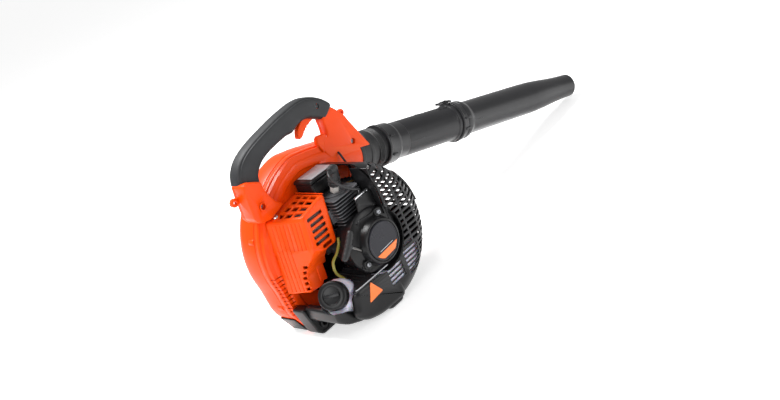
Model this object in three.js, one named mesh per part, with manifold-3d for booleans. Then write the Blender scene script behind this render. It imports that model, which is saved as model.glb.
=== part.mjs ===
// Handheld petrol leaf blower: a fan volute with a carrying handle, a small two-stroke engine on its
// right side, and a two-section blower tube. Millimetres. While it is being built, X points forward
// to the nozzle, Y to the left and Z up, with the origin on the crank axis at the starter's outer face.
import * as THREE from 'three';
import { mergeVertices } from 'three/addons/utils/BufferGeometryUtils.js';
import Module from 'manifold-3d';

const wasm = await Module();
wasm.setup();

// ---------------------------------------------------------------- driving dimensions
const GAP = 0.3;                  // between touching pieces
const FLOOR = -125;               // below the crank axis
const ORIGIN_SHIFT = [-322.9, -116.6, -FLOOR];  // to the middle of the footprint, on the floor
const WALL = 2.6;                 // moulded housings

const VOLUTE_Y = [136, 222];      // engine-side face, intake-side face
const SEAM_Y = 157;               // where the two volute halves meet
const VOLUTE_R0 = 107;            // spiral radius at the tongue
const VOLUTE_GROWTH = 61;         // how much it grows by the outlet
const VOLUTE_SWEEP = 290;         // degrees from tongue to outlet
const TONGUE_DEG = 20;
const FOOT_TOP = -122;            // underside of the volute, on top of its skids

const TUBE_Y = 172;
const TUBE_PITCH = 15.9;          // degrees nose down
const TUBE_Z0 = 130;              // height of the tube axis above the crank axis, at X = 0
const TUBE_R = 35.5;              // first section, outside
const NOZZLE_R = 33.8;
const TIP_R = 25;
const COLLAR_R = 39.5;
const OUTLET_END = 178;           // distances along the tube axis
const SLEEVE_END = 214;
const JOINT_S = 424;
const NOZZLE_TAPER = 690;
const TIP_S = 824;

const GRIP_Y = 150;
const GRIP_WIDTH = 34;
const SHELL_WIDTH = 30;
const LEG_LEFT = 158;             // left face of the handle's legs

const CYL_Y = 75;                 // the cylinder stands over the middle of the crankcase
const CRANK_THROW = 14;
const HUB_R = 34;
const PULLEY_R = 25;              // to the middle of the rope

const CAGE_R = 134;
const CAGE_CUT_Z = -46;           // top edge of the closed part of the engine cover
const CAGE_REAR_X = 38;

const TANK = { y0: 34, y1: 106 };

// ---------------------------------------------------------------- materials
const finish = (color, roughness, metalness = 0) => (
  () => new THREE.MeshStandardMaterial({ color, roughness, metalness })
);
const ORANGE = finish(0xf2551b, 0.35);
const BLACK = finish(0x232325, 0.5);
const TUBE_BLACK = finish(0x36373a, 0.42);
const SOFT_GREY = finish(0x3d3e41, 0.8);
const RUBBER = finish(0x1a1a1b, 0.75);
const STEEL = finish(0x9a9c9f, 0.3, 1);
const ALUMINIUM = finish(0xb4b6b8, 0.4, 1);
const BRASS = finish(0xb08a45, 0.35, 1);
const SILVER = finish(0xc9cbcd, 0.3, 0.7);
const NATURAL = finish(0xdcdce6, 0.3);
const FUEL = finish(0xb9a84a, 0.3);
const WHITE = finish(0xe8e6df, 0.3);
const FOAM = finish(0x4a4a45, 0.95);
const RED = finish(0xd21f12, 0.4);

// ---------------------------------------------------------------- solids
const radians = (degrees) => degrees * Math.PI / 180;

/** A closed geometry as a solid that can be joined and cut. */
function solid(geometry) {
  const bare = geometry.clone();
  bare.deleteAttribute('normal');
  bare.deleteAttribute('uv');
  const merged = mergeVertices(bare, 1e-4);
  const vertProperties = new Float32Array(merged.attributes.position.array);
  const triVerts = new Uint32Array(merged.index.array);
  return new wasm.Manifold(new wasm.Mesh({ numProp: 3, vertProperties, triVerts }));
}

/** A solid as a geometry again. */
function geometryOf(body) {
  const mesh = body.getMesh();
  const geometry = new THREE.BufferGeometry();
  geometry.setAttribute('position', new THREE.BufferAttribute(mesh.vertProperties, 3));
  geometry.setIndex(new THREE.BufferAttribute(mesh.triVerts, 1));
  geometry.computeVertexNormals();
  return geometry;
}

const join = (...bodies) => bodies.reduce((sum, body) => sum.add(body));
const cut = (body, ...tools) => tools.reduce((rest, tool) => rest.subtract(tool), body);

/** A box from low and high limits along each axis. */
function box([x0, x1], [y0, y1], [z0, z1]) {
  const geometry = new THREE.BoxGeometry(x1 - x0, y1 - y0, z1 - z0);
  return solid(geometry.translate((x0 + x1) / 2, (y0 + y1) / 2, (z0 + z1) / 2));
}

/** A cylinder or cone between two points. */
function rod(from, to, radius, sides = 14, endRadius = radius) {
  const start = new THREE.Vector3(...from);
  const end = new THREE.Vector3(...to);
  const along = end.clone().sub(start);
  const geometry = new THREE.CylinderGeometry(endRadius, radius, along.length(), sides);
  const up = new THREE.Vector3(0, 1, 0);
  geometry.applyQuaternion(new THREE.Quaternion().setFromUnitVectors(up, along.normalize()));
  const middle = start.add(end).multiplyScalar(0.5);
  return solid(geometry.translate(middle.x, middle.y, middle.z));
}

/** A cylinder along Y, the crank's direction, centred on (x, z). */
const disc = (radius, [y0, y1], [x, z] = [0, 0], sides = 16) => rod([x, y0, z], [x, y1, z], radius,
  sides);

/** Turns a geometry extruded along Z from an (X, Z) outline so that it runs along Y up to y1. */
const standing = (geometry, y1) => geometry.rotateX(Math.PI / 2).translate(0, y1, 0);

/** An (X, Z) outline extruded from y0 to y1, with rounded edges where bevel is given. */
function prism(outline, [y0, y1], bevel = 0, steps = 2) {
  const shape = new THREE.Shape(outline.map(([x, z]) => new THREE.Vector2(x, z)));
  const options = {
    depth: y1 - y0 - 2 * bevel,
    bevelEnabled: bevel > 0,
    bevelThickness: bevel,
    bevelSize: bevel,
    bevelOffset: -bevel,
    bevelSegments: steps,
  };
  return solid(standing(new THREE.ExtrudeGeometry(shape, options), y1 - bevel));
}

/** A closed profile of [radius, y] points turned about the crank axis. */
function turned(profile, sides = 20) {
  const points = profile.map(([radius, y]) => new THREE.Vector2(radius, y));
  if (THREE.ShapeUtils.area(points) < 0) {
    points.reverse();
  }
  points.push(points[0].clone());
  return solid(new THREE.LatheGeometry(points, sides));
}

/** A round or flat bar along a smooth curve through points. */
function sweep(points, width, height = width, sides = 8, steps = 24) {
  const curve = new THREE.CatmullRomCurve3(points.map((p) => new THREE.Vector3(...p)), false,
    'centripetal');
  const corner = (k) => new THREE.Vector2(
    Math.cos(2 * Math.PI * k / sides) * width / 2,
    Math.sin(2 * Math.PI * k / sides) * height / 2,
  );
  const section = new THREE.Shape(Array.from({ length: sides }, (_, k) => corner(k)));
  return solid(new THREE.ExtrudeGeometry(section, { steps, bevelEnabled: false, extrudePath: curve }));
}

/** A point at a distance along the tube axis, and off it upwards and sideways. */
function onTube(s, up = 0, side = 0) {
  const pitch = radians(TUBE_PITCH);
  const x = s * Math.cos(pitch) + up * Math.sin(pitch);
  const z = TUBE_Z0 - s * Math.sin(pitch) + up * Math.cos(pitch);
  return [x, TUBE_Y + side, z];
}

/** A closed profile of [radius, distance] points turned about the tube axis. */
function turnedOnTube(profile, sides = 24) {
  const points = profile.map(([radius, s]) => new THREE.Vector2(radius, s));
  if (THREE.ShapeUtils.area(points) < 0) {
    points.reverse();
  }
  points.push(points[0].clone());
  const geometry = new THREE.LatheGeometry(points, sides).rotateZ(-Math.PI / 2);
  return solid(geometry.rotateY(radians(TUBE_PITCH)).translate(0, TUBE_Y, TUBE_Z0));
}

/** A cylinder or cone along the tube axis. */
const along = ([s0, s1], radius, sides = 28, endRadius = radius) => (
  rod(onTube(s0), onTube(s1), radius, sides, endRadius)
);

const root = new THREE.Group();
root.position.set(...ORIGIN_SHIFT);

/** Adds a solid to the model as a named part with a material of its own. */
function part(name, body, material) {
  const mesh = new THREE.Mesh(geometryOf(body), material());
  mesh.name = name;
  root.add(mesh);
}

// ---------------------------------------------------------------- fan housing
/** Spiral radius at an angle counted from the tongue in the direction of rotation. */
const voluteRadius = (turn) => VOLUTE_R0 + VOLUTE_GROWTH * (turn / VOLUTE_SWEEP) ** 1.2;

/** The volute's side view, inset from the outside by a wall, with its straight run to the outlet. */
function voluteOutline(inset, duct) {
  const points = [];
  const step = 15;
  for (let turn = 0; turn <= VOLUTE_SWEEP; turn += step) {
    const angle = radians(TONGUE_DEG - turn);
    const radius = voluteRadius(turn) - inset;
    points.push([radius * Math.cos(angle), Math.max(radius * Math.sin(angle), FOOT_TOP + inset)]);
  }
  const [topX, , topZ] = onTube(duct, COLLAR_R - inset);
  const [lowX, , lowZ] = onTube(duct, -COLLAR_R + inset + 8);
  const [tongueX, , tongueZ] = onTube(30, COLLAR_R - inset);
  points.push([tongueX, tongueZ], [topX, topZ], [lowX, lowZ]);
  return points;
}

function buildHousing() {
  const [y0, y1] = VOLUTE_Y;
  const outside = join(
    prism(voluteOutline(0, 120), [y0, SEAM_Y + 20], 5, 1),
    prism(voluteOutline(0, 120), [y0 + 6, y1], 20, 2),
    along([70, OUTLET_END], COLLAR_R - 1),
    prism([[-142, -20], [-137, -77], [-114, FOOT_TOP], [-40, FOOT_TOP], [-60, -60]], [y0, y1 - 20], 3, 1),
  );
  const hollow = join(
    prism(voluteOutline(WALL, 118), [y0 + WALL, SEAM_Y + 18], 4, 1),
    prism(voluteOutline(WALL, 118), [y0 + 8, y1 - WALL], 18, 2),
    along([70, OUTLET_END + 5], COLLAR_R - 1 - WALL),
  );
  const crankHole = disc(21, [y0 - 5, y0 + 10]);
  const intake = disc(64, [y1 - 30, y1 + 5]);
  const shell = cut(outside, hollow, crankHole, intake);
  const rightHalf = box([-250, 300], [y0 - 10, SEAM_Y], [-200, 300]);
  const leftHalf = box([-250, 300], [SEAM_Y + GAP, y1 + 10], [-200, 300]);
  part('fan_housing_right', shell.intersect(rightHalf), ORANGE);
  part('fan_housing_left', shell.intersect(leftHalf), ORANGE);
}

function buildIntakeGuard() {
  const y = VOLUTE_Y[1] + GAP;
  const dome = turned([[0, y + 8], [0, y + 11], [30, y + 10], [60, y + 5.5], [76, y + 2.5], [76, y],
    [60, y + 2.5], [30, y + 7], [0, y + 8]]);
  const slots = [];
  for (let z = -45; z <= 45; z += 18) {
    const half = Math.sqrt(58 ** 2 - z ** 2);
    for (const side of [-1, 1]) {
      slots.push(box([side < 0 ? -half : 4, side < 0 ? -4 : half], [y - 1, y + 12], [z - 5.5, z + 5.5]));
    }
  }
  part('intake_guard', cut(dome, ...slots), BLACK);
}

function buildImpeller() {
  const [back, front] = [149, 194];
  const hub = disc(15, [back - 3, back + 22]);
  const plate = disc(96, [back, back + 3], [0, 0], 40);
  const blades = [];
  for (let k = 0; k < 12; k += 1) {
    const turn = new THREE.Matrix4().makeRotationY(radians(30 * k));
    const blade = new THREE.BoxGeometry(64, front - back - 1, 2.4).translate(62, (front + back) / 2, 0);
    const lean = new THREE.Matrix4().makeRotationY(radians(-14));
    blades.push(solid(blade.applyMatrix4(lean).applyMatrix4(turn)));
  }
  const wheel = join(hub, plate, ...blades).intersect(disc(97, [back - 4, front], [0, 0], 40));
  part('impeller', cut(wheel, disc(8.3, [back - 5, back + 30])), BLACK);
  part('impeller_nut', cut(disc(11, [171.5, 179], [0, 0], 6), disc(5.3, [170, 180])), STEEL);
}

function buildSkids() {
  const rear = prism([[-132.8, -91.6], [-130.4, -90.3], [-114.3, FOOT_TOP - GAP], [-60, FOOT_TOP - GAP],
    [-60, FLOOR],
    [-116, FLOOR]], [SEAM_Y, VOLUTE_Y[1] - 26]);
  part('rear_skid', rear, BLACK);
  const clear = prism(voluteOutline(-GAP, 120), [100, 260]);
  const front = prism([[36, FOOT_TOP - GAP], [30, FLOOR], [104, FLOOR], [96, -90], [70, -90]], [146,
    206]);
  part('front_skid', cut(front, clear), BLACK);
}

// ---------------------------------------------------------------- tubes
function buildTubes() {
  const bore = COLLAR_R - 7;
  const [e0, e1] = [OUTLET_END + GAP, SLEEVE_END];
  part('outlet_sleeve', turnedOnTube([[bore, e0], [COLLAR_R - 4, e0], [COLLAR_R - 4, e0 + 12],
    [COLLAR_R - 1.5, e0 + 12],
    [COLLAR_R - 1.5, e1 - 14], [COLLAR_R - 4, e1 - 14], [COLLAR_R - 4, e1], [bore, e1]]), RUBBER);

  const [s0, s1] = [SLEEVE_END + GAP, JOINT_S];
  const rim = COLLAR_R + 1.2;
  part('blower_tube', turnedOnTube([[TUBE_R - 2.4, s0], [rim, s0], [rim, s0 + 5], [COLLAR_R, s0 + 5],
    [COLLAR_R, s0 + 30], [TUBE_R, s0 + 34], [TUBE_R, s1 - 8], [TUBE_R + 2.6, s1 - 8], [TUBE_R + 2.6, s1],
    [TUBE_R - 2.4, s1]]), TUBE_BLACK);

  const n0 = JOINT_S + GAP;
  part('nozzle', turnedOnTube([[NOZZLE_R - 2.3, n0], [rim, n0], [rim, n0 + 5], [COLLAR_R, n0 + 5],
    [COLLAR_R, n0 + 22],
    [NOZZLE_R, n0 + 26], [NOZZLE_R, NOZZLE_TAPER], [TIP_R, TIP_S], [TIP_R - 2.5, TIP_S],
    [NOZZLE_R - 2.3, NOZZLE_TAPER]]), TUBE_BLACK);

  const latch = join(
    rod(onTube(n0 + 4, COLLAR_R + 4.2, -9), onTube(n0 + 4, COLLAR_R + 4.2, 9), 2.4, 12),
    rod(onTube(n0 + 4, COLLAR_R + 4.2, -5), onTube(n0 - 22, COLLAR_R + 2.6, -5), 1.8, 8),
    rod(onTube(n0 + 4, COLLAR_R + 4.2, 5), onTube(n0 - 22, COLLAR_R + 2.6, 5), 1.8, 8),
    rod(onTube(n0 - 22, COLLAR_R + 2.6, -8), onTube(n0 - 22, COLLAR_R + 2.6, 8), 2.6, 12),
  );
  part('tube_latch', latch, BLACK);
}

// ---------------------------------------------------------------- handle
const GRIP_PATH = [[-108, 168], [-122, 190], [-109, 212], [-56, 235], [8, 246], [48, 245], [92, 224],
  [110, 206]];

function gripCurve(width, height, sides, trim = 0) {
  const points = GRIP_PATH.map(([x, z], k) => {
    const lift = k === 0 ? trim : 0;
    const inward = 16;
    const centre = new THREE.Vector2(-20, 120);
    const out = new THREE.Vector2(x, z).sub(centre);
    const at = centre.add(out.setLength(out.length() - inward));
    return [at.x, GRIP_Y, at.y + lift];
  });
  return sweep(points, width, height, sides, 13);
}

function buildHandle() {
  const half = SHELL_WIDTH / 2;
  const y = [GRIP_Y - half, GRIP_Y + half];
  const rear = prism([[-134, 178], [-146, 164], [-142, 150], [-134, 148], [-134, 96], [-112, 96],
    [-62, 118], [-76, 128], [-86, 146], [-88, 160], [-97, 176], [-124, 184]], [GRIP_Y - 27, LEG_LEFT],
      3, 1);
  const front = prism([[97, 219], [121, 207], [128, 196], [138, 190], [146, 176], [148, 162], [190, 92],
    [182, 84],
    [120, 92], [70, 118], [60, 140], [66, 158], [58, 160], [56, 170], [70, 174], [84, 180], [84, 192],
      [92, 206]],
  [y[0], LEG_LEFT], 3, 1);
  const core = gripCurve(20, 20, 8);
  const lugs = join(disc(9, [GRIP_Y - 4, GRIP_Y + 4], [-144, 156], 16), disc(9, [GRIP_Y - 4,
    GRIP_Y + 4], [142, 176], 16));
  const holes = join(disc(4, [100, 200], [-145, 157], 12), disc(4, [100, 200], [141, 178], 12));
  const clear = join(prism(voluteOutline(-GAP, 122), [60, 260]), along([40, OUTLET_END + 40],
    COLLAR_R + GAP));
  const pocket = box([20, 80], [GRIP_Y - 7, GRIP_Y + 7], [168, 217]);
  const screwPits = join(disc(6, [100, GRIP_Y - 22], [-108, 130], 12), disc(6, [100, GRIP_Y - 10], [137,
    122], 12),
    disc(4.4, [100, GRIP_Y + 8], [-108, 130], 12), disc(4.4, [100, GRIP_Y + 4], [137, 122], 12));
  const frame = cut(join(rear, front, core, lugs), holes, clear, pocket, screwPits);
  part('handle_shell_right', frame.intersect(box([-300, 300], [0, GRIP_Y - GAP / 2], [0, 400])), ORANGE);
  part('handle_shell_left', frame.intersect(box([-300, 300], [GRIP_Y + GAP / 2, 300], [0, 400])), ORANGE);

  const sleeve = gripCurve(36, GRIP_WIDTH, 10);
  const ends = join(prism([[-134, 178], [-120, 184], [-97, 176], [-80, 170], [-80, 100], [-160, 100],
    [-160, 178]],
    [100, 200]), front);
  const trimmed = cut(sleeve, ends, gripCurve(20 + 2 * GAP, 20 + 2 * GAP, 8), pocket);
  const lump = trimmed.decompose().sort((a, b) => b.volume() - a.volume())[0];
  part('handle_grip', lump, SOFT_GREY);

  const trigger = prism([[46, 208], [76, 208], [78, 199], [68, 197], [46, 190], [32, 182], [26, 185],
    [32, 199]],
    [GRIP_Y - 6, GRIP_Y + 6]);
  part('trigger', cut(trigger, disc(2.3, [120, 180], [72, 203], 12)), ORANGE);
  part('trigger_pin', disc(2, [GRIP_Y - 6.6, GRIP_Y + 6.6], [72, 203], 12), STEEL);
  part('stop_switch', box([98, 110], [LEG_LEFT + GAP, LEG_LEFT + 6], [186, 196]), RED);
  part('throttle_cable', sweep([[88, 134.6, 124], [86, 129, 120], [84, 122, 110], [77, 106, 98], [70,
    97, 91],
    [64, 93.5, 88]], 4, 4, 8, 14), RUBBER);
  part('rear_leg_screw', rod([-108, GRIP_Y - 22.3, 130], [-108, GRIP_Y - 25.5, 130], 4.6, 10), STEEL);
  part('front_leg_screw', rod([137, GRIP_Y - 10.3, 122], [137, GRIP_Y - 13.5, 122], 4.6, 10), STEEL);
}

// ---------------------------------------------------------------- engine
function buildCrankcase() {
  const body = join(disc(36, [50, 104]), disc(27, [104, VOLUTE_Y[0] - GAP]), box([-27, 27], [52, 98],
    [0, 36]),
    box([-44, 44], [104, 110], [-8, 8]), box([-8, 8], [104, 110], [-44, 44]));
  const cavity = join(disc(26, [62, 88]), disc(16, [48, 58]), disc(16, [92, 101]), disc(9.5, [40, 140]),
    rod([0, CYL_Y, 10], [0, CYL_Y, 40], 20));
  part('crankcase', cut(body, cavity), ALUMINIUM);
  for (const [name, y] of [['bearing_right', 50.5], ['bearing_left', 92.5]]) {
    part(name, cut(disc(15.6, [y, y + 7]), disc(8.1, [y - 1, y + 8])), STEEL);
  }
  const shaft = join(disc(7.6, [27, 66]), disc(7.6, [84, 169]), disc(5, [168, 182]), disc(22, [65, 71]),
    disc(22, [79, 85]),
    disc(5.5, [70, 80], [0, CRANK_THROW]));
  part('crankshaft', shaft, STEEL);
  const fins = Array.from({ length: 10 }, (_, k) => {
    const fin = new THREE.BoxGeometry(18, 7, 2.4).translate(35, 34.5, 0);
    return solid(fin.applyMatrix4(new THREE.Matrix4().makeRotationY(radians(36 * k))));
  });
  const wheel = join(disc(45, [37, 47], [0, 0], 32), ...fins);
  part('flywheel', cut(wheel, disc(8, [20, 60])), ALUMINIUM);
}

function buildCylinder() {
  const fins = Array.from({ length: 7 }, (_, k) => {
    const z = 45 + 8 * k;
    const reach = k < 2 ? 29 : 33;
    return box([-reach, reach], [CYL_Y - 31, CYL_Y + 31], [z, z + 2.6]);
  });
  const barrel = rod([0, CYL_Y, 36 + GAP], [0, CYL_Y, 96], 23.5, 16);
  const ports = join(box([-37, 0], [CYL_Y - 11, CYL_Y + 11], [52, 78]), box([0, 37], [CYL_Y - 11,
    CYL_Y + 11], [52, 78]));
  const bores = join(rod([0, CYL_Y, 30], [0, CYL_Y, 84], 17.4, 16), rod([0, CYL_Y, 80], [0, CYL_Y, 100],
    5.3, 16),
    rod([-40, CYL_Y, 65], [40, CYL_Y, 65], 7, 16));
  const lean = [0, -0.42, 0.908];
  const plugPoint = (d) => [0, CYL_Y + lean[1] * d, 90 + lean[2] * d];
  const plugPit = rod(plugPoint(6.5), plugPoint(30), 9, 16);
  part('cylinder', cut(join(barrel, ports, ...fins), bores, plugPit), ALUMINIUM);

  const crown = cut(rod([0, CYL_Y, 48], [0, CYL_Y, 78], 17, 20), rod([0, CYL_Y, 40], [0, CYL_Y, 73], 14,
    20));
  part('piston', join(crown, rod([0, CYL_Y - 15, 58], [0, CYL_Y + 15, 58], 3, 12)), ALUMINIUM);
  const conrod = join(rod([0, CYL_Y - 3, 58], [0, CYL_Y + 3, 58], 6.5, 16), box([-3, 3], [CYL_Y - 2,
    CYL_Y + 2], [25, 56]));
  part('connecting_rod', cut(conrod, rod([0, 50, 58], [0, 100, 58], 3.3, 12)), STEEL);

  const plug = join(rod([0, CYL_Y, 84.4], [0, CYL_Y, 98], 4.9, 12), rod(plugPoint(7.5), plugPoint(20),
    8, 6),
    rod(plugPoint(19), plugPoint(40), 4.5, 12));
  part('spark_plug', plug, WHITE);
  const cap = join(rod(plugPoint(23), plugPoint(58), 8, 16, 7), rod(plugPoint(52), [-12, 47, 141], 6.2,
    12));
  part('plug_cap', cut(cap, rod(plugPoint(10), plugPoint(41), 4.9, 16)), RUBBER);
  const lead = sweep([[-12.5, 46.7, 141.2], [-18.9, 43.5, 143.2], [-27, 33, 138], [-22, 24, 122], [-4,
    22, 104],
    [12, 26, 94], [17, 33, 86], [17, 36, 78]], 5, 5, 8, 26);
  part('ignition_lead', lead, RUBBER);
  const coil = join(box([8, 32], [30, 43], [56, 77]), box([5, 11], [33, 40], [47.5, 60]), box([28, 34],
    [33, 40], [50, 60]));
  part('ignition_coil', coil, BLACK);
}

/** Leans the rear face of the muffler cover back towards the fan housing. */
function leanBack(point) {
  const share = Math.min(1, Math.max(0, (-60 - point[0]) / 30));
  point[0] -= 0.28 * Math.max(0, point[1] - 60) * share;
}

function buildMuffler() {
  const bodyOutline = [[-84, 44], [-78, 36], [-46, 36], [-37.3, 44], [-37.3, 86], [-46, 92], [-76, 90],
    [-84, 82]];
  const body = cut(join(prism(bodyOutline, [67, 122], 3, 1), rod([-60, 122, 64], [-60, 128, 64], 6, 16)),
    prism([[-80, 42], [-41, 42], [-41, 86], [-80, 84]], [70, 119]), rod([-60, 110, 64], [-60, 135, 64],
      4, 16),
    rod([-50, CYL_Y, 65], [-30, CYL_Y, 65], 6, 16));
  part('muffler', body, STEEL);

  const end = (inset) => VOLUTE_Y[0] - GAP + (inset ? 5 : 0);
  const upper = (inset) => prism([[-33 - inset, 111.5 - inset], [-93 + inset, 98.5 - inset],
    [-103 + inset, 39],
    [-79, 25 + inset], [-46 - inset, 25 + inset]], [60 + inset, end(inset)], inset ? 0 : 3, 1);
  const lower = (inset) => prism([[-61 - inset, 30 - inset], [-101 + inset, 39 - inset],
    [-111.6 + inset, -36 + inset],
    [-80, -40 + inset], [-62 - inset, 8]], [90 + inset, end(inset)], inset ? 0 : 3, 1);
  const slots = Array.from({ length: 6 }, (_, k) => {
    const z = 88 - 11 * k;
    return box([-86 - 2 * k, -50], [50, 66], [z, z + 5.4]);
  });
  for (let row = 0; row < 4; row += 1) {
    slots.push(box([-88 + 13 * row, -81 + 13 * row], [78, 118], [90, 120]));
  }
  for (let k = 0; k < 5; k += 1) {
    slots.push(box([-106 - 1.6 * k, -101 - 1.6 * k], [80, 95], [9 - 10 * k, 14 - 10 * k]));
  }
  const open = join(box([-60, -20], [63, 140], [34, 96]), box([-95, -60], [100, 140], [-50, 24]));
  const straight = cut(join(upper(0), lower(0)), upper(WALL), lower(WALL), open, ...slots,
    box([-90, -50], [97, 140], [10, 60]));
  const shell = straight.warp(leanBack);
  const flange = join(box([-84, -78], [VOLUTE_Y[0] - 10, VOLUTE_Y[0] - GAP], [102, 106]));
  part('muffler_cover', join(shell, flange).decompose().sort((a, b) => b.volume() - a.volume())[0],
    ORANGE);
}

function buildIntake() {
  const y = [CYL_Y - 11, CYL_Y + 11];
  part('intake_spacer', cut(box([37 + GAP, 45], y, [52, 78]), rod([30, CYL_Y, 65], [50, CYL_Y, 65], 6.5,
    16)), BLACK);
  const carb = join(box([45 + GAP, 68], [CYL_Y - 14, CYL_Y + 14], [50, 80]), rod([57, CYL_Y, 79], [57,
    CYL_Y, 86], 6, 14),
    rod([68, CYL_Y, 65], [74, CYL_Y, 65], 11, 18));
  const primerSeat = rod([57, CYL_Y - 20, 62], [57, CYL_Y - 8.5, 62], 8.4, 14);
  part('carburettor', cut(carb, rod([40, CYL_Y, 65], [80, CYL_Y, 65], 6.2, 14), primerSeat), ALUMINIUM);
  const arm = [-0.766, 0.643];
  const leverEnd = [57 + arm[0] * 18, CYL_Y + arm[1] * 18, 88];
  part('throttle_lever', join(rod([57, CYL_Y, 86 + GAP], [57, CYL_Y, 90], 6, 14), rod([57, CYL_Y, 88],
    leverEnd, 1.6, 6),
    rod([leverEnd[0], leverEnd[1], 86.5], [leverEnd[0], leverEnd[1], 89.5], 3, 10)), BRASS);
  part('primer_bulb', cut(rod([57, CYL_Y - 14 - GAP, 62], [57, CYL_Y - 24, 62], 8, 16, 5),
    rod([57, CYL_Y, 62], [57, CYL_Y - 21, 62], 5.5, 14, 4)), RED);
  part('choke_lever', join(rod([71, CYL_Y - 14.5, 82], [71, CYL_Y - 18.5, 82], 5, 14),
    box([69, 73], [CYL_Y - 18, CYL_Y - 15], [82, 100])), BLACK);

  const caseBox = cut(box([-30, 36.5], [88, 133], [101, 124]), box([-27.5, 34], [90.5, 130.5], [103.5,
    130]),
    rod([24, 118, 95], [24, 118, 110], 8, 16));
  part('air_filter_case', caseBox, BLACK);
  part('air_filter', box([-25, 12], [94, 127], [104, 122]), FOAM);
  part('air_filter_lid', prism([[-31, 124 + GAP], [37.4, 124 + GAP], [37.4, 128], [33.4, 131], [-27,
    131], [-31, 128]],
    [86, 134]), BLACK);
  part('rating_plate', box([-22, 29], [91, 129], [131 + GAP, 132.1]), SILVER);
  const hose = sweep([[24, 118, 103.2], [26, 118, 94], [42, 116, 84], [66, 110, 76], [86, 95, 68], [85,
    80, 65],
    [74.4, CYL_Y, 65]], 19, 19, 12, 20);
  const carbClear = rod([60, CYL_Y, 65], [74.4, CYL_Y, 65], 12, 18);
  part('intake_hose', cut(hose, carbClear, box([0, 60], [80, 133], [101 - GAP, 130])), RUBBER);
}

// ---------------------------------------------------------------- starter
function buildStarter() {
  const cup = turned([[0, 3], [36, 3], [39, 6], [41, 18], [58, 24], [58, 29], [40, 29], [36, 20], [36,
    6], [0, 6]]);
  const plate = join(box([-62, -30], [25, 28], [0, 40]), box([10, 37.5], [24, 28], [20, 58]));
  const lugs = join(disc(9, [18, 29], [24, 42], 16), disc(9, [18, 29], [-39, -24.5], 16));
  const ropeWay = rod([-28, 17.5, -7.4], [-60, 17.5, 24.6], 3, 10);
  const screwSeats = join(disc(2.4, [10, 40], [24, 42], 8), disc(2.4, [10, 40], [-39, -24.5], 8));
  const badgeSeat = disc(HUB_R + 0.6, [2, 3.4], [0, 0], 20);
  part('starter_housing', cut(join(cup, plate, lugs), ropeWay, badgeSeat, disc(5, [0, 6.5]),
    screwSeats), BLACK);
  for (const [name, at] of [['starter_screw_upper', [24, 42]], ['starter_screw_lower', [-39, -24.5]]]) {
    part(name, join(disc(3.9, [14.5, 17.7], at, 10), disc(2, [17, 27], at, 8)), STEEL);
  }
  part('hub_badge', join(turned([[0, 0], [HUB_R - 3, 0], [HUB_R, 1.6], [HUB_R, 3], [0, 3]], 32),
    disc(4.5, [2, 6])), BLACK);
  const pulley = cut(turned([[0, 13], [30, 13], [30, 14], [PULLEY_R - 2, 15.5], [PULLEY_R - 2, 19.5],
    [30, 21], [30, 22], [0, 22]]), disc(6.3, [10, 25.5]));
  part('starter_pulley', pulley, BLACK);
  part('starter_post', join(disc(6, [6 + GAP, 24]), disc(9, [22 + GAP, 25])), STEEL);
  part('recoil_spring', cut(disc(27, [7, 12]), disc(12, [6, 13])), STEEL);
  const start = [-PULLEY_R * Math.SQRT1_2, -PULLEY_R * Math.SQRT1_2];
  const at = (d) => [start[0] - d * Math.SQRT1_2, 17.5, start[1] + d * Math.SQRT1_2];
  const centre = at(63);
  const bar = 26 * Math.SQRT1_2;
  const grip = join(rod([centre[0] - bar, 17, centre[2] - bar], [centre[0] + bar, 17, centre[2] + bar],
    6.3, 14),
    rod(at(58), at(63), 7, 12));
  part('starter_grip', cut(grip, rod(at(50), at(61), 2.2, 10)), RUBBER);
  part('starter_rope', rod(at(26), at(60.5), 1.9, 8), WHITE);
}

// ---------------------------------------------------------------- fuel
function buildFuel() {
  const neck = new THREE.Vector3(-0.70, -0.45, 0.55).normalize();
  const base = new THREE.Vector3(-84, 62, -64);
  const point = (d) => base.clone().addScaledVector(neck, d).toArray();
  const outline = [[-130, -82], [-112, -96], [-84, -108], [-50, -117], [40, -117], [72, -98], [86, -76],
    [62, -54],
    [-76, -54], [-104, -70]];
  const body = join(prism(outline, [TANK.y0, TANK.y1], 6, 1), rod(point(-10), point(38), 20, 24));
  part('fuel_tank', cut(body, prism([[-123, -84], [-111, -92], [-82, -104], [-49, -113], [38, -113],
    [68, -96], [80, -76], [60, -58],
    [-78, -58], [-104, -75]],
    [TANK.y0 + 4, TANK.y1 - 4]), rod(point(-22), point(42), 16, 20)), NATURAL);
  const cap = cut(rod(point(28), point(50), 24, 24), rod(point(20), point(38 + GAP), 20.5, 24));
  part('fuel_cap', join(cap, rod(point(32), point(39), 15, 16)), BLACK);
  part('fuel_line', sweep([[52, 40, -52.6], [60, 38, -30], [64, 42, 0], [62, 52, 30], [58, 60, 46]], 5,
    5, 8, 16), FUEL);
  part('tank_vent', sweep([[-66, 58, -51.6], [-66, 58, -40], [-78, 57, -20], [-76, 56, 0], [-62, 55,
    10], [-50, 55, 22],
    [-46, 55, 32]], 5, 5, 8, 18), FUEL);
}

// ---------------------------------------------------------------- engine cover
/** The dome of the engine cover, filled, as big as the outside less an inset. */
function coverDome(inset) {
  const r = (radius) => radius - inset;
  const y = (depth) => depth + inset;
  return turned([[0, y(9)], [r(92), y(11)], [r(112), y(19)], [r(126), y(33)], [r(CAGE_R), y(52)],
    [r(CAGE_R), VOLUTE_Y[0] - GAP + inset * 2], [0, VOLUTE_Y[0] - GAP + inset * 2]], 28);
}

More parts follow.
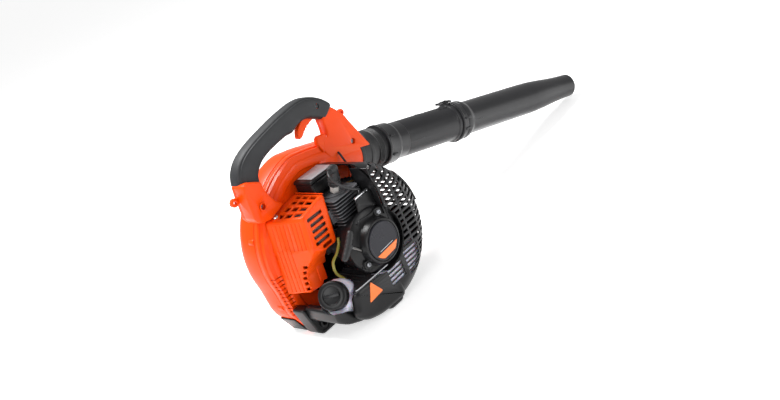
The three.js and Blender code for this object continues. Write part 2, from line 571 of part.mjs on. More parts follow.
function buildEngineCover() {
  const inset = WALL;
  const end = VOLUTE_Y[0] - GAP;
  const rearGuard = (wall) => prism([[0, CAGE_CUT_Z], [-94 + wall, CAGE_CUT_Z], [-98 + wall, -70],
    [-108 + wall, -90],
    [-84, -114 + wall], [-50, -122 + wall], [0, -122 + wall]], [13 + wall, end + wall * 2],
      wall ? 0 : 5, 1);
  const flat = (wall) => box([-200, 200], [-10, 200], [FLOOR + wall, 200]);
  const keep = join(box([CAGE_REAR_X, 200], [-10, 200], [-200, 200]), box([-90, 200], [-10, 200], [-200,
    CAGE_CUT_Z]));
  const foot = box([-41, 5], [16, 45], [FLOOR, -120]);
  const outside = join(coverDome(0).intersect(flat(0)).intersect(keep), rearGuard(0), foot);
  const inside = join(coverDome(inset).intersect(flat(inset)), rearGuard(inset));
  const open = join(box([-140, -88], [24, 150], [-116, -40]), box([-140, 0], [24, 150], [-60, -40]),
    along([40, OUTLET_END], COLLAR_R + GAP), box([72, 94], [104, 140], [84, 124]));
  const slots = [];
  for (let z = -92; z <= 104; z += 20) {
    const left = z < -40 ? 24 : CAGE_REAR_X + 6;
    slots.push(box([left, 74], [0, 70], [z, z + 12]), box([78, 150], [0, 58], [z, z + 12]),
      box([78, 150], [64, 128], [z, z + 12]));
  }
  const baffle = box([CAGE_REAR_X, CAGE_REAR_X + 2], [16, 60], [30, 116]);
  const hubClear = disc(60, [0, 40], [0, 0], 24);
  const shell = cut(join(cut(outside, inside), baffle.intersect(coverDome(1))), hubClear, open, ...slots);
  const biggest = shell.decompose().sort((a, b) => b.volume() - a.volume())[0];
  part('engine_cover', biggest, BLACK);
}

function buildBaseBracket() {
  const y = [TANK.y1 + 1, VOLUTE_Y[0] - GAP];
  const block = prism([[-141, -62], [-122, -64], [-84, -119], [-84, FLOOR], [-124, FLOOR]], y, 2, 1);
  const hollow = prism([[-134, -70], [-124, -70], [-94, -114], [-94, FLOOR + 4], [-120, FLOOR + 4]],
    [y[0] + 6, y[1] + 2]);
  part('base_bracket', cut(block, hollow, disc(5, [60, 200], [-104, -110], 14)), BLACK);
  part('cover_screw', rod([-99, 122, 102.4], [-99.8, 122, 106], 4.6, 10), STEEL);
}

// ---------------------------------------------------------------- assembly
buildHousing();
buildIntakeGuard();
buildImpeller();
buildSkids();
buildTubes();
buildHandle();
buildCrankcase();
buildCylinder();
buildMuffler();
buildIntake();
buildStarter();
buildFuel();
buildEngineCover();
buildBaseBracket();

export default root;
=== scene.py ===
"""Looks of a handheld petrol leaf blower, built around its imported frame.

Sizes are in millimetres on the engine's own axes: X forward to the nozzle, Y to the left and Z up, from
the crank axis at the starter's outer face. They become metres in the shared frame when a mesh is made.
"""

import logging
import math
from dataclasses import dataclass, field
from enum import Enum
from typing import Iterable, Optional, Sequence

import bmesh
import bpy
from mathutils import Matrix, Vector


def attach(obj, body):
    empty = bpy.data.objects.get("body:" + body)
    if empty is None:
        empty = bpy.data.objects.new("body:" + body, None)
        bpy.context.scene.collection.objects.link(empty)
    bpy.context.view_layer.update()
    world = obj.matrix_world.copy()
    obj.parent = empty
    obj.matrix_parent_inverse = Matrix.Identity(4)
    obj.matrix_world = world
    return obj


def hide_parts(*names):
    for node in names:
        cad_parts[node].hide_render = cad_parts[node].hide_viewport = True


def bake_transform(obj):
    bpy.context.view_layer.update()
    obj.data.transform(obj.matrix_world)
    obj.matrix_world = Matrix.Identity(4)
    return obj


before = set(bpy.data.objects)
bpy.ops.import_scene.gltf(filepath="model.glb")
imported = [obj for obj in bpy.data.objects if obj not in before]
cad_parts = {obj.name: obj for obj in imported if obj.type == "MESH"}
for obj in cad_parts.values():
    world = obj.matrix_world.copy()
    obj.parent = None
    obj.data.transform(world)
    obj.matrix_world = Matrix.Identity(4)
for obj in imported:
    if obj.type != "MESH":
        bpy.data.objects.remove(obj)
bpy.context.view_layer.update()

LOG = logging.getLogger("leaf_blower")
SHIFT = Vector((-322.9, -116.6, 125.0))
MM = 0.001
ROOT = "machine"

Outline = list[tuple[float, float]]
Point = tuple[float, float, float]


# ---------------------------------------------------------------- shapes
class Merge(Enum):
    """How one form is combined with another."""

    CUT = "DIFFERENCE"
    JOIN = "UNION"
    KEEP = "INTERSECT"


@dataclass(frozen=True)
class Axis:
    """A line in space that round forms are turned about."""

    origin: Point
    direction: Point

    def sides(self) -> tuple[Vector, Vector, Vector]:
        """Gives the axis direction and two directions square to it.

        Returns:
            The unit direction and two unit vectors across it.
        """
        along = Vector(self.direction).normalized()
        hint = Vector((0, 0, 1)) if abs(along.z) < 0.9 else Vector((1, 0, 0))
        across = along.cross(hint).normalized()
        return along, across, along.cross(across)

    def at(self, distance: float, radius: float = 0.0, angle: float = 0.0) -> Vector:
        """Finds a point by its distance along the axis and its place round it.

        Args:
            distance: Millimetres along the axis.
            radius: Millimetres off it.
            angle: Radians round it.

        Returns:
            The point.
        """
        along, across, up = self.sides()
        off = across * (radius * math.cos(angle)) + up * (radius * math.sin(angle))
        return Vector(self.origin) + along * distance + off


class Form:
    """A closed shape under construction, in millimetres on the engine's axes."""

    def __init__(self, points: Iterable[Sequence[float]] = (), faces: Iterable[Sequence[int]] = ()) -> None:
        """Starts a form from points and faces."""
        self.points = [Vector(p) for p in points]
        self.faces = [list(f) for f in faces]

    def add(self, *others: "Form") -> "Form":
        """Takes in the faces of other forms, without joining their volumes.

        Args:
            others: The forms to take in.

        Returns:
            This form.
        """
        for other in others:
            start = len(self.points)
            self.points += other.points
            self.faces += [[start + k for k in face] for face in other.faces]
        return self

    def mesh(self, name: str) -> bpy.types.Mesh:
        """Makes a mesh in metres in the shared frame.

        Args:
            name: The mesh's name.

        Returns:
            A clean mesh whose faces look outwards.
        """
        data = bpy.data.meshes.new(name)
        data.from_pydata([(p + SHIFT) * MM for p in self.points], [], self.faces)
        work = bmesh.new()
        work.from_mesh(data)
        bmesh.ops.remove_doubles(work, verts=work.verts, dist=2e-6)
        bmesh.ops.dissolve_degenerate(work, edges=work.edges, dist=1e-6)
        bmesh.ops.recalc_face_normals(work, faces=work.faces)
        work.to_mesh(data)
        work.free()
        return data

    def combined(self, how: Merge, tools: Iterable["Form"]) -> "Form":
        """Cuts, joins or keeps this form by others, one after another.

        Args:
            how: What to do with each tool.
            tools: The other forms.

        Returns:
            A new form.
        """
        target = bpy.data.objects.new("work", self.mesh("work"))
        bpy.context.scene.collection.objects.link(target)
        helpers = []
        for tool in tools:
            helper = bpy.data.objects.new("tool", tool.mesh("tool"))
            bpy.context.scene.collection.objects.link(helper)
            helpers.append(helper)
            step = target.modifiers.new("step", "BOOLEAN")
            step.operation = how.value
            step.solver = "MANIFOLD"
            step.object = helper
        bpy.context.view_layer.update()
        graph = bpy.context.evaluated_depsgraph_get()
        data = bpy.data.meshes.new_from_object(target.evaluated_get(graph))
        result = Form([v.co / MM - SHIFT for v in data.vertices], [list(p.vertices) for p in data.polygons])
        for thing in (target, *helpers):
            old = thing.data
            bpy.data.objects.remove(thing)
            bpy.data.meshes.remove(old)
        bpy.data.meshes.remove(data)
        return result

    def cut(self, *tools: "Form") -> "Form":
        """This form with others cut out of it."""
        return self.combined(Merge.CUT, tools)

    def join(self, *tools: "Form") -> "Form":
        """This form and others as one volume."""
        return self.combined(Merge.JOIN, tools)

    def keep(self, *tools: "Form") -> "Form":
        """The part of this form that lies inside the others."""
        return self.combined(Merge.KEEP, tools)


def loft(rings: Sequence[Sequence[Vector]], loop: bool = False) -> Form:
    """Skins a row of closed rings.

    Args:
        rings: Rings with the same number of points.
        loop: Whether the last ring meets the first; otherwise both ends are capped.

    Returns:
        The skinned form.
    """
    size, count = len(rings[0]), len(rings)
    faces = []
    for i in range(count if loop else count - 1):
        a, b = i * size, (i + 1) % count * size
        faces += [[a + k, a + (k + 1) % size, b + (k + 1) % size, b + k] for k in range(size)]
    if not loop:
        faces += [list(range(size))[::-1], list(range((count - 1) * size, count * size))]
    return Form([p for ring in rings for p in ring], faces)


def box(x: Sequence[float], y: Sequence[float], z: Sequence[float]) -> Form:
    """A block from its low and high limits along each axis."""
    return loft([[Vector((a, b, c)) for a, b in ((x[0], y[0]), (x[1], y[0]), (x[1], y[1]), (x[0], y[1]))]
        for c in z])


def turned(profile: Outline, axis: Axis, sides: int = 64) -> Form:
    """Turns a closed profile of (radius, distance) points about an axis.

    Args:
        profile: The profile's corners in order.
        axis: What it turns about.
        sides: Steps in a full turn.

    Returns:
        The turned form.
    """
    along, across, up = axis.sides()
    start = Vector(axis.origin)
    rings = []
    for k in range(sides):
        turn = 2 * math.pi * k / sides
        out = across * math.cos(turn) + up * math.sin(turn)
        rings.append([start + along * d + out * max(r, 0.0) for r, d in profile])
    return loft(rings, loop=True)


def rod(start: Sequence[float], end: Sequence[float], radius: float, sides: int = 32,
        tip: Optional[float] = None) -> Form:
    """A round bar or cone between two points.

    Args:
        start: One end.
        end: The other end.
        radius: At the start.
        sides: Steps in a full turn.
        tip: Radius at the end, if it differs.

    Returns:
        The bar.
    """
    a, b = Vector(start), Vector(end)
    axis = Axis(tuple(a), tuple(b - a))
    last = radius if tip is None else tip
    length = (b - a).length
    rings = []
    for r, d in ((radius, 0.0), (last, length)):
        rings.append([axis.at(d, r, 2 * math.pi * k / sides) for k in range(sides)])
    return loft(rings)


def disc(radius: float, y: Sequence[float], at: tuple[float, float] = (0, 0), sides: int = 48) -> Form:
    """A cylinder along Y, the crank's direction."""
    return rod((at[0], y[0], at[1]), (at[0], y[1], at[1]), radius, sides)


def rounded(corners: Outline, radius: float, steps: int = 5) -> Outline:
    """Rounds every corner of a closed outline.

    Args:
        corners: The sharp outline.
        radius: How far the rounding reaches along each side at most.
        steps: Points in each corner.

    Returns:
        The rounded outline.
    """
    result = []
    count = len(corners)
    for k in range(count):
        here = Vector(corners[k])
        before, after = Vector(corners[k - 1]), Vector(corners[(k + 1) % count])
        reach_a = min(radius, (before - here).length * 0.48)
        reach_b = min(radius, (after - here).length * 0.48)
        a = here + (before - here).normalized() * reach_a
        b = here + (after - here).normalized() * reach_b
        for i in range(steps):
            t = i / (steps - 1)
            spot = a.lerp(here, t).lerp(here.lerp(b, t), t)
            result.append((spot.x, spot.y))
    return result


def inset(outline: Outline, distance: float) -> list[Vector]:
    """Moves a closed outline inwards.

    Args:
        outline: The outline, in order.
        distance: How far in.

    Returns:
        The moved points.
    """
    points = [Vector(p) for p in outline]
    area = sum(a.x * b.y - b.x * a.y for a, b in zip(points, points[1:] + points[:1]))
    sign = 1 if area > 0 else -1
    moved = []
    for k, here in enumerate(points):
        ahead = (points[(k + 1) % len(points)] - here).normalized()
        behind = (here - points[k - 1]).normalized()
        tangent = ahead + behind
        if tangent.length < 1e-6:
            moved.append(here.copy())
            continue
        tangent.normalize()
        mitre = max(0.5, tangent.dot(ahead))
        moved.append(here + Vector((-tangent.y, tangent.x)) * (sign * distance / mitre))
    return moved


def prism(outline: Outline, y: Sequence[float], soft: tuple[float, float] = (0, 0), steps: int = 5) -> Form:
    """An (X, Z) outline carried along Y, with its two rims rounded over.

    Args:
        outline: The outline, in order.
        y: Where it starts and ends.
        soft: Rounding radius at the low-Y rim and at the high-Y rim.
        steps: Rings in each rounding.

    Returns:
        The prism.
    """
    levels = []
    low, high = soft
    for i in range(steps if low else 1):
        turn = math.pi / 2 * i / max(1, steps - 1)
        levels.append((y[0] + low * (1 - math.sin(turn)), low * (1 - math.cos(turn)))
            if low else (y[0], 0.0))
    levels.sort()
    tail = []
    for i in range(steps if high else 1):
        turn = math.pi / 2 * i / max(1, steps - 1)
        tail.append((y[1] - high * (1 - math.sin(turn)), high * (1 - math.cos(turn)))
            if high else (y[1], 0.0))
    tail.sort()
    rings = []
    for depth, shrink in levels + tail:
        flat = inset(outline, shrink) if shrink else [Vector(p) for p in outline]
        rings.append([Vector((p.x, depth, p.y)) for p in flat])
    return loft(rings)


def smooth_path(points: Sequence[Sequence[float]], steps: int = 8) -> list[Vector]:
    """Runs a smooth curve through points.

    Args:
        points: What it passes through.
        steps: New points on each stretch.

    Returns:
        The finer path.
    """
    knots = [Vector(p) for p in points]
    knots = [knots[0] * 2 - knots[1]] + knots + [knots[-1] * 2 - knots[-2]]
    path = []
    for a, b, c, d in zip(knots, knots[1:], knots[2:], knots[3:]):
        for i in range(steps):
            t = i / steps
            spot = b * 2 + (c - a) * t
            spot = spot + (a * 2 - b * 5 + c * 4 - d) * t * t + (b * 3 - a - c * 3 + d) * t ** 3
            path.append(spot * 0.5)
    path.append(knots[-2].copy())
    return path


def hose(points: Sequence[Sequence[float]], radii: Sequence[float], sides: int = 18,
        steps: int = 8) -> Form:
    """A round bar along a smooth path, whose radius changes evenly through the given values.

    Args:
        points: What the path passes through.
        radii: Radius at even distances, one or more values.
        sides: Steps round it.
        steps: Steps on each stretch.

    Returns:
        The hose.
    """
    path = smooth_path(points, steps)
    normal = (path[1] - path[0]).orthogonal().normalized()
    rings = []
    for k, spot in enumerate(path):
        ahead = path[min(k + 1, len(path) - 1)] - path[max(k - 1, 0)]
        ahead.normalize()
        normal = (normal - ahead * normal.dot(ahead)).normalized()
        side = ahead.cross(normal)
        place = k / (len(path) - 1) * (len(radii) - 1)
        low = min(int(place), max(0, len(radii) - 2))
        radius = (radii[low] if len(radii) == 1
            else radii[low] + (radii[low + 1] - radii[low]) * (place - low))
        rings.append([spot + (normal * math.cos(2 * math.pi * i / sides)
            + side * math.sin(2 * math.pi * i / sides)) * radius for i in range(sides)])
    return loft(rings)


def scattered(forms: Iterable[Form]) -> Form:
    """Separate forms held as one, for cutting or showing together."""
    return Form().add(*forms)


# ---------------------------------------------------------------- finishes
@dataclass(frozen=True)
class Finish:
    """A moulded, painted or bare surface with its own grain, tone changes and worn edges."""

    name: str
    color: tuple[float, float, float]
    roughness: float
    metallic: float = 0.0
    grain: float = 900.0
    depth: float = 0.15
    variation: float = 0.12
    wear: float = 0.25
    worn: Optional[tuple[float, float, float]] = None
    coat: float = 0.0
    gleam: float = 0.5
    through: float = 0.0
    glow: float = 0.0
    stretch: tuple[float, float, float] = (1.0, 1.0, 1.0)

    def material(self) -> bpy.types.Material:
        """Makes the finish as a node material, or finds it if it has been made.

        Returns:
            The material.
        """
        known = bpy.data.materials.get(self.name)
        if known:
            return known
        made = bpy.data.materials.new(self.name)
        made.use_nodes = True
        made.diffuse_color = (*self.color, 1)
        tree = made.node_tree
        shader = tree.nodes["Principled BSDF"]
        shader.inputs["Metallic"].default_value = self.metallic
        shader.inputs["Coat Weight"].default_value = self.coat
        shader.inputs["Specular IOR Level"].default_value = self.gleam
        shader.inputs["Emission Color"].default_value = (1, 1, 1, 1)
        shader.inputs["Emission Strength"].default_value = self.glow
        shader.inputs["Coat Roughness"].default_value = 0.08
        shader.inputs["Subsurface Weight"].default_value = self.through
        shader.inputs["Subsurface Scale"].default_value = 0.012
        self._colour(tree, shader)
        self._surface(tree, shader)
        return made

    def _noise(self, tree: bpy.types.NodeTree, scale: float, detail: float) -> bpy.types.Node:
        """Adds noise that is fixed to the object.

        Args:
            tree: The material's nodes.
            scale: How fine it is, per metre.
            detail: Layers of finer noise.

        Returns:
            The noise node.
        """
        place = tree.nodes.new("ShaderNodeTexCoord")
        mapping = tree.nodes.new("ShaderNodeMapping")
        mapping.inputs["Scale"].default_value = self.stretch
        noise = tree.nodes.new("ShaderNodeTexNoise")
        noise.inputs["Scale"].default_value = scale
        noise.inputs["Detail"].default_value = detail
        tree.links.new(place.outputs["Object"], mapping.inputs["Vector"])
        tree.links.new(mapping.outputs["Vector"], noise.inputs["Vector"])
        return noise

    def _colour(self, tree: bpy.types.NodeTree, shader: bpy.types.Node) -> None:
        """Adds slow tone changes and paler, rubbed edges.

        Args:
            tree: The material's nodes.
            shader: Its shader.
        """
        ramp = tree.nodes.new("ShaderNodeValToRGB")
        dark = [c * (1 - self.variation) for c in self.color]
        light = [min(1.0, c * (1 + self.variation)) for c in self.color]
        ramp.color_ramp.elements[0].position, ramp.color_ramp.elements[1].position = 0.3, 0.7
        ramp.color_ramp.elements[0].color = (*dark, 1)
        ramp.color_ramp.elements[1].color = (*light, 1)
        tree.links.new(self._noise(tree, 14.0, 5.0).outputs["Fac"], ramp.inputs["Fac"])
        edge = tree.nodes.new("ShaderNodeNewGeometry")
        reach = tree.nodes.new("ShaderNodeMapRange")
        reach.inputs["From Min"].default_value = 0.52
        reach.inputs["From Max"].default_value = 0.64
        reach.inputs["To Max"].default_value = self.wear
        mix = tree.nodes.new("ShaderNodeMix")
        mix.data_type = "RGBA"
        pale = self.worn or tuple(min(1.0, c * 1.5 + 0.05) for c in self.color)
        mix.inputs["B"].default_value = (*pale, 1)
        tree.links.new(edge.outputs["Pointiness"], reach.inputs["Value"])
        tree.links.new(reach.outputs["Result"], mix.inputs["Factor"])
        tree.links.new(ramp.outputs["Color"], mix.inputs["A"])
        tree.links.new(mix.outputs["Result"], shader.inputs["Base Color"])

    def _surface(self, tree: bpy.types.NodeTree, shader: bpy.types.Node) -> None:
        """Adds fine grain and uneven gloss.

        Args:
            tree: The material's nodes.
            shader: Its shader.
        """
        gloss = tree.nodes.new("ShaderNodeMapRange")
        gloss.inputs["To Min"].default_value = max(0.03, self.roughness * 0.8)
        gloss.inputs["To Max"].default_value = min(1.0, self.roughness * 1.25)
        tree.links.new(self._noise(tree, 45.0, 6.0).outputs["Fac"], gloss.inputs["Value"])
        tree.links.new(gloss.outputs["Result"], shader.inputs["Roughness"])
        bump = tree.nodes.new("ShaderNodeBump")
        bump.inputs["Strength"].default_value = self.depth
        bump.inputs["Distance"].default_value = 0.0002
        tree.links.new(self._noise(tree, self.grain, 3.0).outputs["Fac"], bump.inputs["Height"])
        tree.links.new(bump.outputs["Normal"], shader.inputs["Normal"])


class Finishes:
    """The finishes this machine uses."""

    ORANGE = Finish("glossy_orange_moulding", (0.82, 0.060, 0.0003), 0.33, grain=500, depth=0.05,
        variation=0.05, wear=0.15, worn=(1.0, 0.16, 0.02), coat=0.08, gleam=0.16)
    BLACK = Finish("black_glass_filled_moulding", (0.0055, 0.0055, 0.006), 0.33, grain=1500, depth=0.2,
        wear=0.3, gleam=0.28, worn=(0.06, 0.06, 0.065))
    TUBE = Finish("satin_charcoal_tube", (0.013, 0.013, 0.0145), 0.30, grain=1800, depth=0.15,
        variation=0.1, gleam=0.4)
    GRIP = Finish("soft_grey_overmould", (0.021, 0.022, 0.024), 0.55, grain=2200, depth=0.4,
        variation=0.1, wear=0.12, gleam=0.35)
    RUBBER = Finish("black_rubber", (0.009, 0.009, 0.010), 0.5, grain=1200, depth=0.3)
    STEEL = Finish("zinc_plated_steel", (0.62, 0.62, 0.64), 0.24, metallic=1.0, grain=600, depth=0.1)
    CAST = Finish("die_cast_aluminium", (0.30, 0.31, 0.33), 0.45, metallic=0.9, grain=900, depth=0.5,
        variation=0.2)
    DARK_CAST = Finish("heat_darkened_casting", (0.055, 0.056, 0.06), 0.46, metallic=0.55, grain=900,
        depth=0.6, variation=0.25, wear=0.5, worn=(0.30, 0.30, 0.32))
    HEATED = Finish("heat_tinted_steel", (0.16, 0.13, 0.12), 0.5, metallic=0.8, grain=500, depth=0.4,
        variation=0.35)
    BRASS = Finish("turned_brass", (0.62, 0.42, 0.16), 0.3, metallic=1.0, grain=700, depth=0.1)
    SILVER = Finish("plain_silver_plate", (0.50, 0.51, 0.53), 0.42, metallic=0.3, grain=900, depth=0.12,
                    stretch=(0.1, 1.0, 1.0))
    TANK = Finish("natural_tank_plastic", (0.78, 0.76, 0.90), 0.28, grain=400, depth=0.08, variation=0.08,
        coat=0.1, through=0.2)
    FUEL_HOSE = Finish("olive_fuel_hose", (0.24, 0.21, 0.03), 0.30, grain=600, depth=0.08, through=0.1)
    CERAMIC = Finish("glazed_ceramic", (0.55, 0.53, 0.50), 0.18, grain=300, depth=0.04)
    FOAM = Finish("open_cell_foam", (0.05, 0.05, 0.045), 0.95, grain=1500, depth=1.0, variation=0.4)
    RED = Finish("glossy_red_moulding", (0.62, 0.010, 0.008), 0.28, grain=500, depth=0.05, variation=0.06,
        coat=0.3)
    ROPE = Finish("braided_rope", (0.16, 0.155, 0.15), 0.8, grain=1600, depth=0.9, variation=0.2)
    BADGE = Finish("dark_badge_film", (0.011, 0.011, 0.016), 0.28, grain=700, depth=0.06, coat=0.05,
        gleam=0.25)
    ACCENT = Finish("orange_badge_film", (0.88, 0.17, 0.02), 0.35, grain=900, depth=0.05, variation=0.04)
    # Pale grey for the printed line on the badge, and also a painted highlight: the light caught along the
    # cover's top edge is painted with it.
    PRINT_AND_HIGHLIGHT = Finish("pale_print_and_painted_highlight", (0.42, 0.43, 0.45), 0.4, grain=900, depth=0.05)


# ---------------------------------------------------------------- pieces
@dataclass
class Bench:
    """Turns forms into finished pieces that ride on the machine's bodies."""

    made: list[str] = field(default_factory=list)

    def piece(self, name: str, form: Form, finish: Finish, body: Optional[str] = ROOT,
              stands_for: Sequence[str] = (), edge: float = 0.6, angle: float = 32.0) -> bpy.types.Object:
        """Makes one visible piece.

        Args:
            name: The piece's name.
            form: Its shape.
            finish: Its surface.
            body: The body it rides on, or None to leave it unattached.
            stands_for: The frame nodes it takes the place of.
            edge: Width of its broken edges in millimetres, or 0.
            angle: Edges sharper than this stay crisp in the shading.

        Returns:
            The object.
        """
        data = form.mesh(name)
        data.materials.append(finish.material())
        data.shade_smooth()
        data.set_sharp_from_angle(angle=math.radians(angle))
        thing = bpy.data.objects.new(name, data)
        bpy.context.scene.collection.objects.link(thing)
        if edge:
            self._break_edges(thing, edge, angle)
        if body:
            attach(thing, body)
        if stands_for:
            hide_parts(*stands_for)
        self.made.append(name)
        return thing

    def _break_edges(self, thing: bpy.types.Object, edge: float, angle: float) -> None:
        """Rounds a piece's sharp edges.

        Args:
            thing: The piece.
            edge: Width in millimetres.
            angle: Edges sharper than this are rounded.
        """
        bevel = thing.modifiers.new("broken_edges", "BEVEL")
        bevel.width = edge * MM
        bevel.segments = 2
        bevel.limit_method = "ANGLE"
        bevel.angle_limit = math.radians(angle)
        bevel.use_clamp_overlap = True
        bevel.harden_normals = False
        graph = bpy.context.evaluated_depsgraph_get()
        data = bpy.data.meshes.new_from_object(thing.evaluated_get(graph))
        thing.modifiers.clear()
        old = thing.data
        thing.data = data
        bpy.data.meshes.remove(old)
        data.name = thing.name
        data.shade_smooth()
        data.set_sharp_from_angle(angle=math.radians(38.0))

    def dress(self, names: Sequence[str], finish: Finish) -> None:
        """Gives frame nodes a better surface.

        Args:
            names: The nodes.
            finish: Their surface.
        """
        for name in names:
            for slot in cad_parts[name].material_slots:
                slot.material = finish.material()


@dataclass
class Screw:
    """A pan-head screw with a cross recess."""

    radius: float = 4.4
    height: float = 3.0

    def head(self, seat: Sequence[float], direction: Sequence[float]) -> Form:
        """Shapes the head and a short length of shank.

        Args:
            seat: Where the head rests.
            direction: Which way the head looks.

        Returns:
            The screw.
        """
        axis = Axis(tuple(seat), tuple(direction))
        r, h = self.radius, self.height
        dome = turned([(0, -4), (r * 0.45, -4), (r * 0.45, 0), (r, 0), (r, h * 0.5), (r * 0.8, h * 0.85),
            (r * 0.45, h), (0, h)], axis, 28)
        tools = []
        along, across, up = axis.sides()
        for wide, tall in ((across, up), (up, across)):
            corners = [(-0.55, -0.13), (0.55, -0.13), (0.55, 0.13), (-0.55, 0.13)]
            rings = []
            for d in (h * 0.45, h * 1.3):
                rings.append([axis.at(d) + wide * (a * r) + tall * (b * r) for a, b in corners])
            tools.append(loft(rings))
        return dome.cut(*tools)


@dataclass
class FanHousing:
    """The two-piece volute with its outlet, the intake guard and the pads it stands on."""

    side_y: float = 222.0
    start_radius: float = 107.0
    growth: float = 61.0
    sweep: float = 290.0
    tongue_deg: float = 20.0
    foot_z: float = -122.0
    gap: float = 0.3
    samples: int = 288
    base: tuple = ((-142, -20), (-137, -77), (-114, -122), (-40, -122), (-60, -60))
    duct: tuple = ((-4, 168), (39.7, 159.8), (125.5, 135.4), (107, 66.8), (100.5, 36.6))
    right_section: tuple = ((0, 157), (0, 151), (0.8, 148.6), (3, 147.4), (6.5, 146.8), (9, 146.4),
        (10, 145.4), (10.3, 143), (11, 140.2), (13, 138), (16, 136.6), (20, 136.1), (28, 136),
        (29.2, 136.8), (31, 138))
    left_section: tuple = ((0, 157.3), (0, 160), (1.2, 160.6), (1.2, 162), (0, 162.6), (0, 194),
        (1, 200.5), (3.6, 206.5), (7.8, 212), (13.2, 216.6), (19.5, 219.8), (27, 221.4), (33, 221.8))

    def radius_at(self, turn: float) -> float:
        """Finds the outside of the housing in one direction from the crank.

        Args:
            turn: Direction in radians, from X towards Z.

        Returns:
            The distance.
        """
        ray = Vector((math.cos(turn), math.sin(turn)))
        back = (self.tongue_deg - math.degrees(turn)) % 360
        best = 0.0
        if back <= self.sweep:
            best = self.start_radius + self.growth * (back / self.sweep) ** 1.2
            if ray.y < 0:
                best = min(best, self.foot_z / ray.y)
        for shape in (self.base, self.duct):
            for a, b in zip(shape, shape[1:]):
                side = Vector(b) - Vector(a)
                cross = ray.x * side.y - ray.y * side.x
                if abs(cross) < 1e-9:
                    continue
                distance = (a[0] * side.y - a[1] * side.x) / cross
                share = (a[0] * ray.y - a[1] * ray.x) / cross
                if 0 <= share <= 1 and distance > best:
                    best = distance
        return best

    def outline(self) -> list[Vector]:
        """Samples the outside, a little smoothed.

        Returns:
            Points in order round the crank.
        """
        raw = [self.radius_at(2 * math.pi * k / self.samples) for k in range(self.samples)]
        points = []
        for k in range(self.samples):
            near = [raw[(k + j) % self.samples] for j in range(-3, 4)]
            radius = sum(near) / len(near)
            turn = 2 * math.pi * k / self.samples
            points.append(Vector((math.cos(turn), math.sin(turn))) * radius)
        return points

    def half(self, section: Sequence[tuple[float, float]], hub: Sequence[tuple[float, float]],
            inner: Sequence[tuple[float, float]]) -> Form:
        """Skins one half of the volute from the seam to the hole in its side and back inside.

        Args:
            section: Inset and Y of the outside, from the seam inwards.
            hub: Radius and Y of the round part in the middle.
            inner: Inset and Y of the inside, back to the seam.

        Returns:
            The half.
        """
        columns = []
        for spot in self.outline():
            size = spot.length
            way = spot / size
            column = [Vector((way.x * (size - d), y, way.y * (size - d))) for d, y in section]
            column += [Vector((way.x * r, y, way.y * r)) for r, y in hub]
            column += [Vector((way.x * (size - d), y, way.y * (size - d))) for d, y in inner]
            columns.append(column)
        return loft(columns, loop=True)

    def outlet(self, tube: "AirTube") -> Form:
        """Shapes the round neck of the duct."""
        profile = [(30, 40), (37.2, 40), (38.6, 60), (38.6, 142), (36, 142), (36, 60)]
        return turned(profile, tube.axis(), 64)

    def build(self, bench: Bench, tube: "AirTube") -> None:
        """Makes every piece of the fan housing.

        Args:
            bench: Where pieces are made.
            tube: The air tube, for the direction of the outlet.
        """
        right = self.half(self.right_section, [(96, 138), (94, 136.6), (60, 136.6), (58, 136), (21, 136),
            (21, 139)], [(3, 139), (3, 157)])
        vents = [box((-147 + 0.7 * k, -129 + 0.7 * k), (134, 150.5), (1 - 8.0 * k, 2.6 - 8.0 * k))
            for k in range(11)]
        bench.piece("volute_right_half", right.cut(scattered(vents)), Finishes.ORANGE,
            stands_for=["fan_housing_right"], edge=0.5)
        ring = [(84, 221.8), (82.5, 219.6), (79.5, 218.6), (77, 219.6), (75.6, 222), (72, 222.2),
            (66, 222.2), (64, 221.4), (64, 206), (67, 206), (67, 217)]
        left = self.half(self.left_section, ring, [(30, 217), (5, 194), (3, 190), (3, 157.3)])
        bosses = []
        for deg in (118, 152, 205, 262, 320):
            turn = math.radians(deg)
            r = self.radius_at(turn) - 5
            at = (r * math.cos(turn), r * math.sin(turn))
            if deg in (262, 320):
                continue
            bosses.append(rod((at[0], 163, at[1]), (at[0], 176, at[1]), 7.0, 28))
        bench.piece("volute_left_half", left.add(*bosses), Finishes.ORANGE,
            stands_for=["fan_housing_left"], edge=0.5)
        bench.piece("outlet_neck", self.outlet(tube), Finishes.ORANGE, edge=0.4)
        self._guard(bench)
        self._pads(bench)

    def _guard(self, bench: Bench) -> None:
        """Makes the slotted guard over the intake.

        Args:
            bench: Where pieces are made.
        """
        y = self.side_y + self.gap
        axis = Axis((0, 0, 0), (0, 1, 0))
        dome = turned([(0, y + 8), (0, y + 11), (12, y + 10.8), (30, y + 9.8), (46, y + 7.8),
            (60, y + 5.3), (72, y + 3), (76, y + 1.8), (76, y), (70, y + 0.6), (60, y + 2.5), (46, y + 5),
            (30, y + 7), (12, y + 7.8)], axis, 96)
        cuts = []
        for k in range(-8, 9):
            z = 7.0 * k
            half = math.sqrt(max(0.0, 62 ** 2 - z ** 2))
            inner = 14 if abs(z) < 12 else 2
            for side in (-1, 1):
                low, high = sorted((side * inner, side * half))
                if high - low > 6:
                    cuts.append(box((low, high), (y - 3, y + 14), (z - 2.1, z + 2.1)))
        guard = dome.cut(scattered(cuts))
        bench.piece("intake_grille", guard, Finishes.BLACK, stands_for=["intake_guard"],
            edge=0.35)

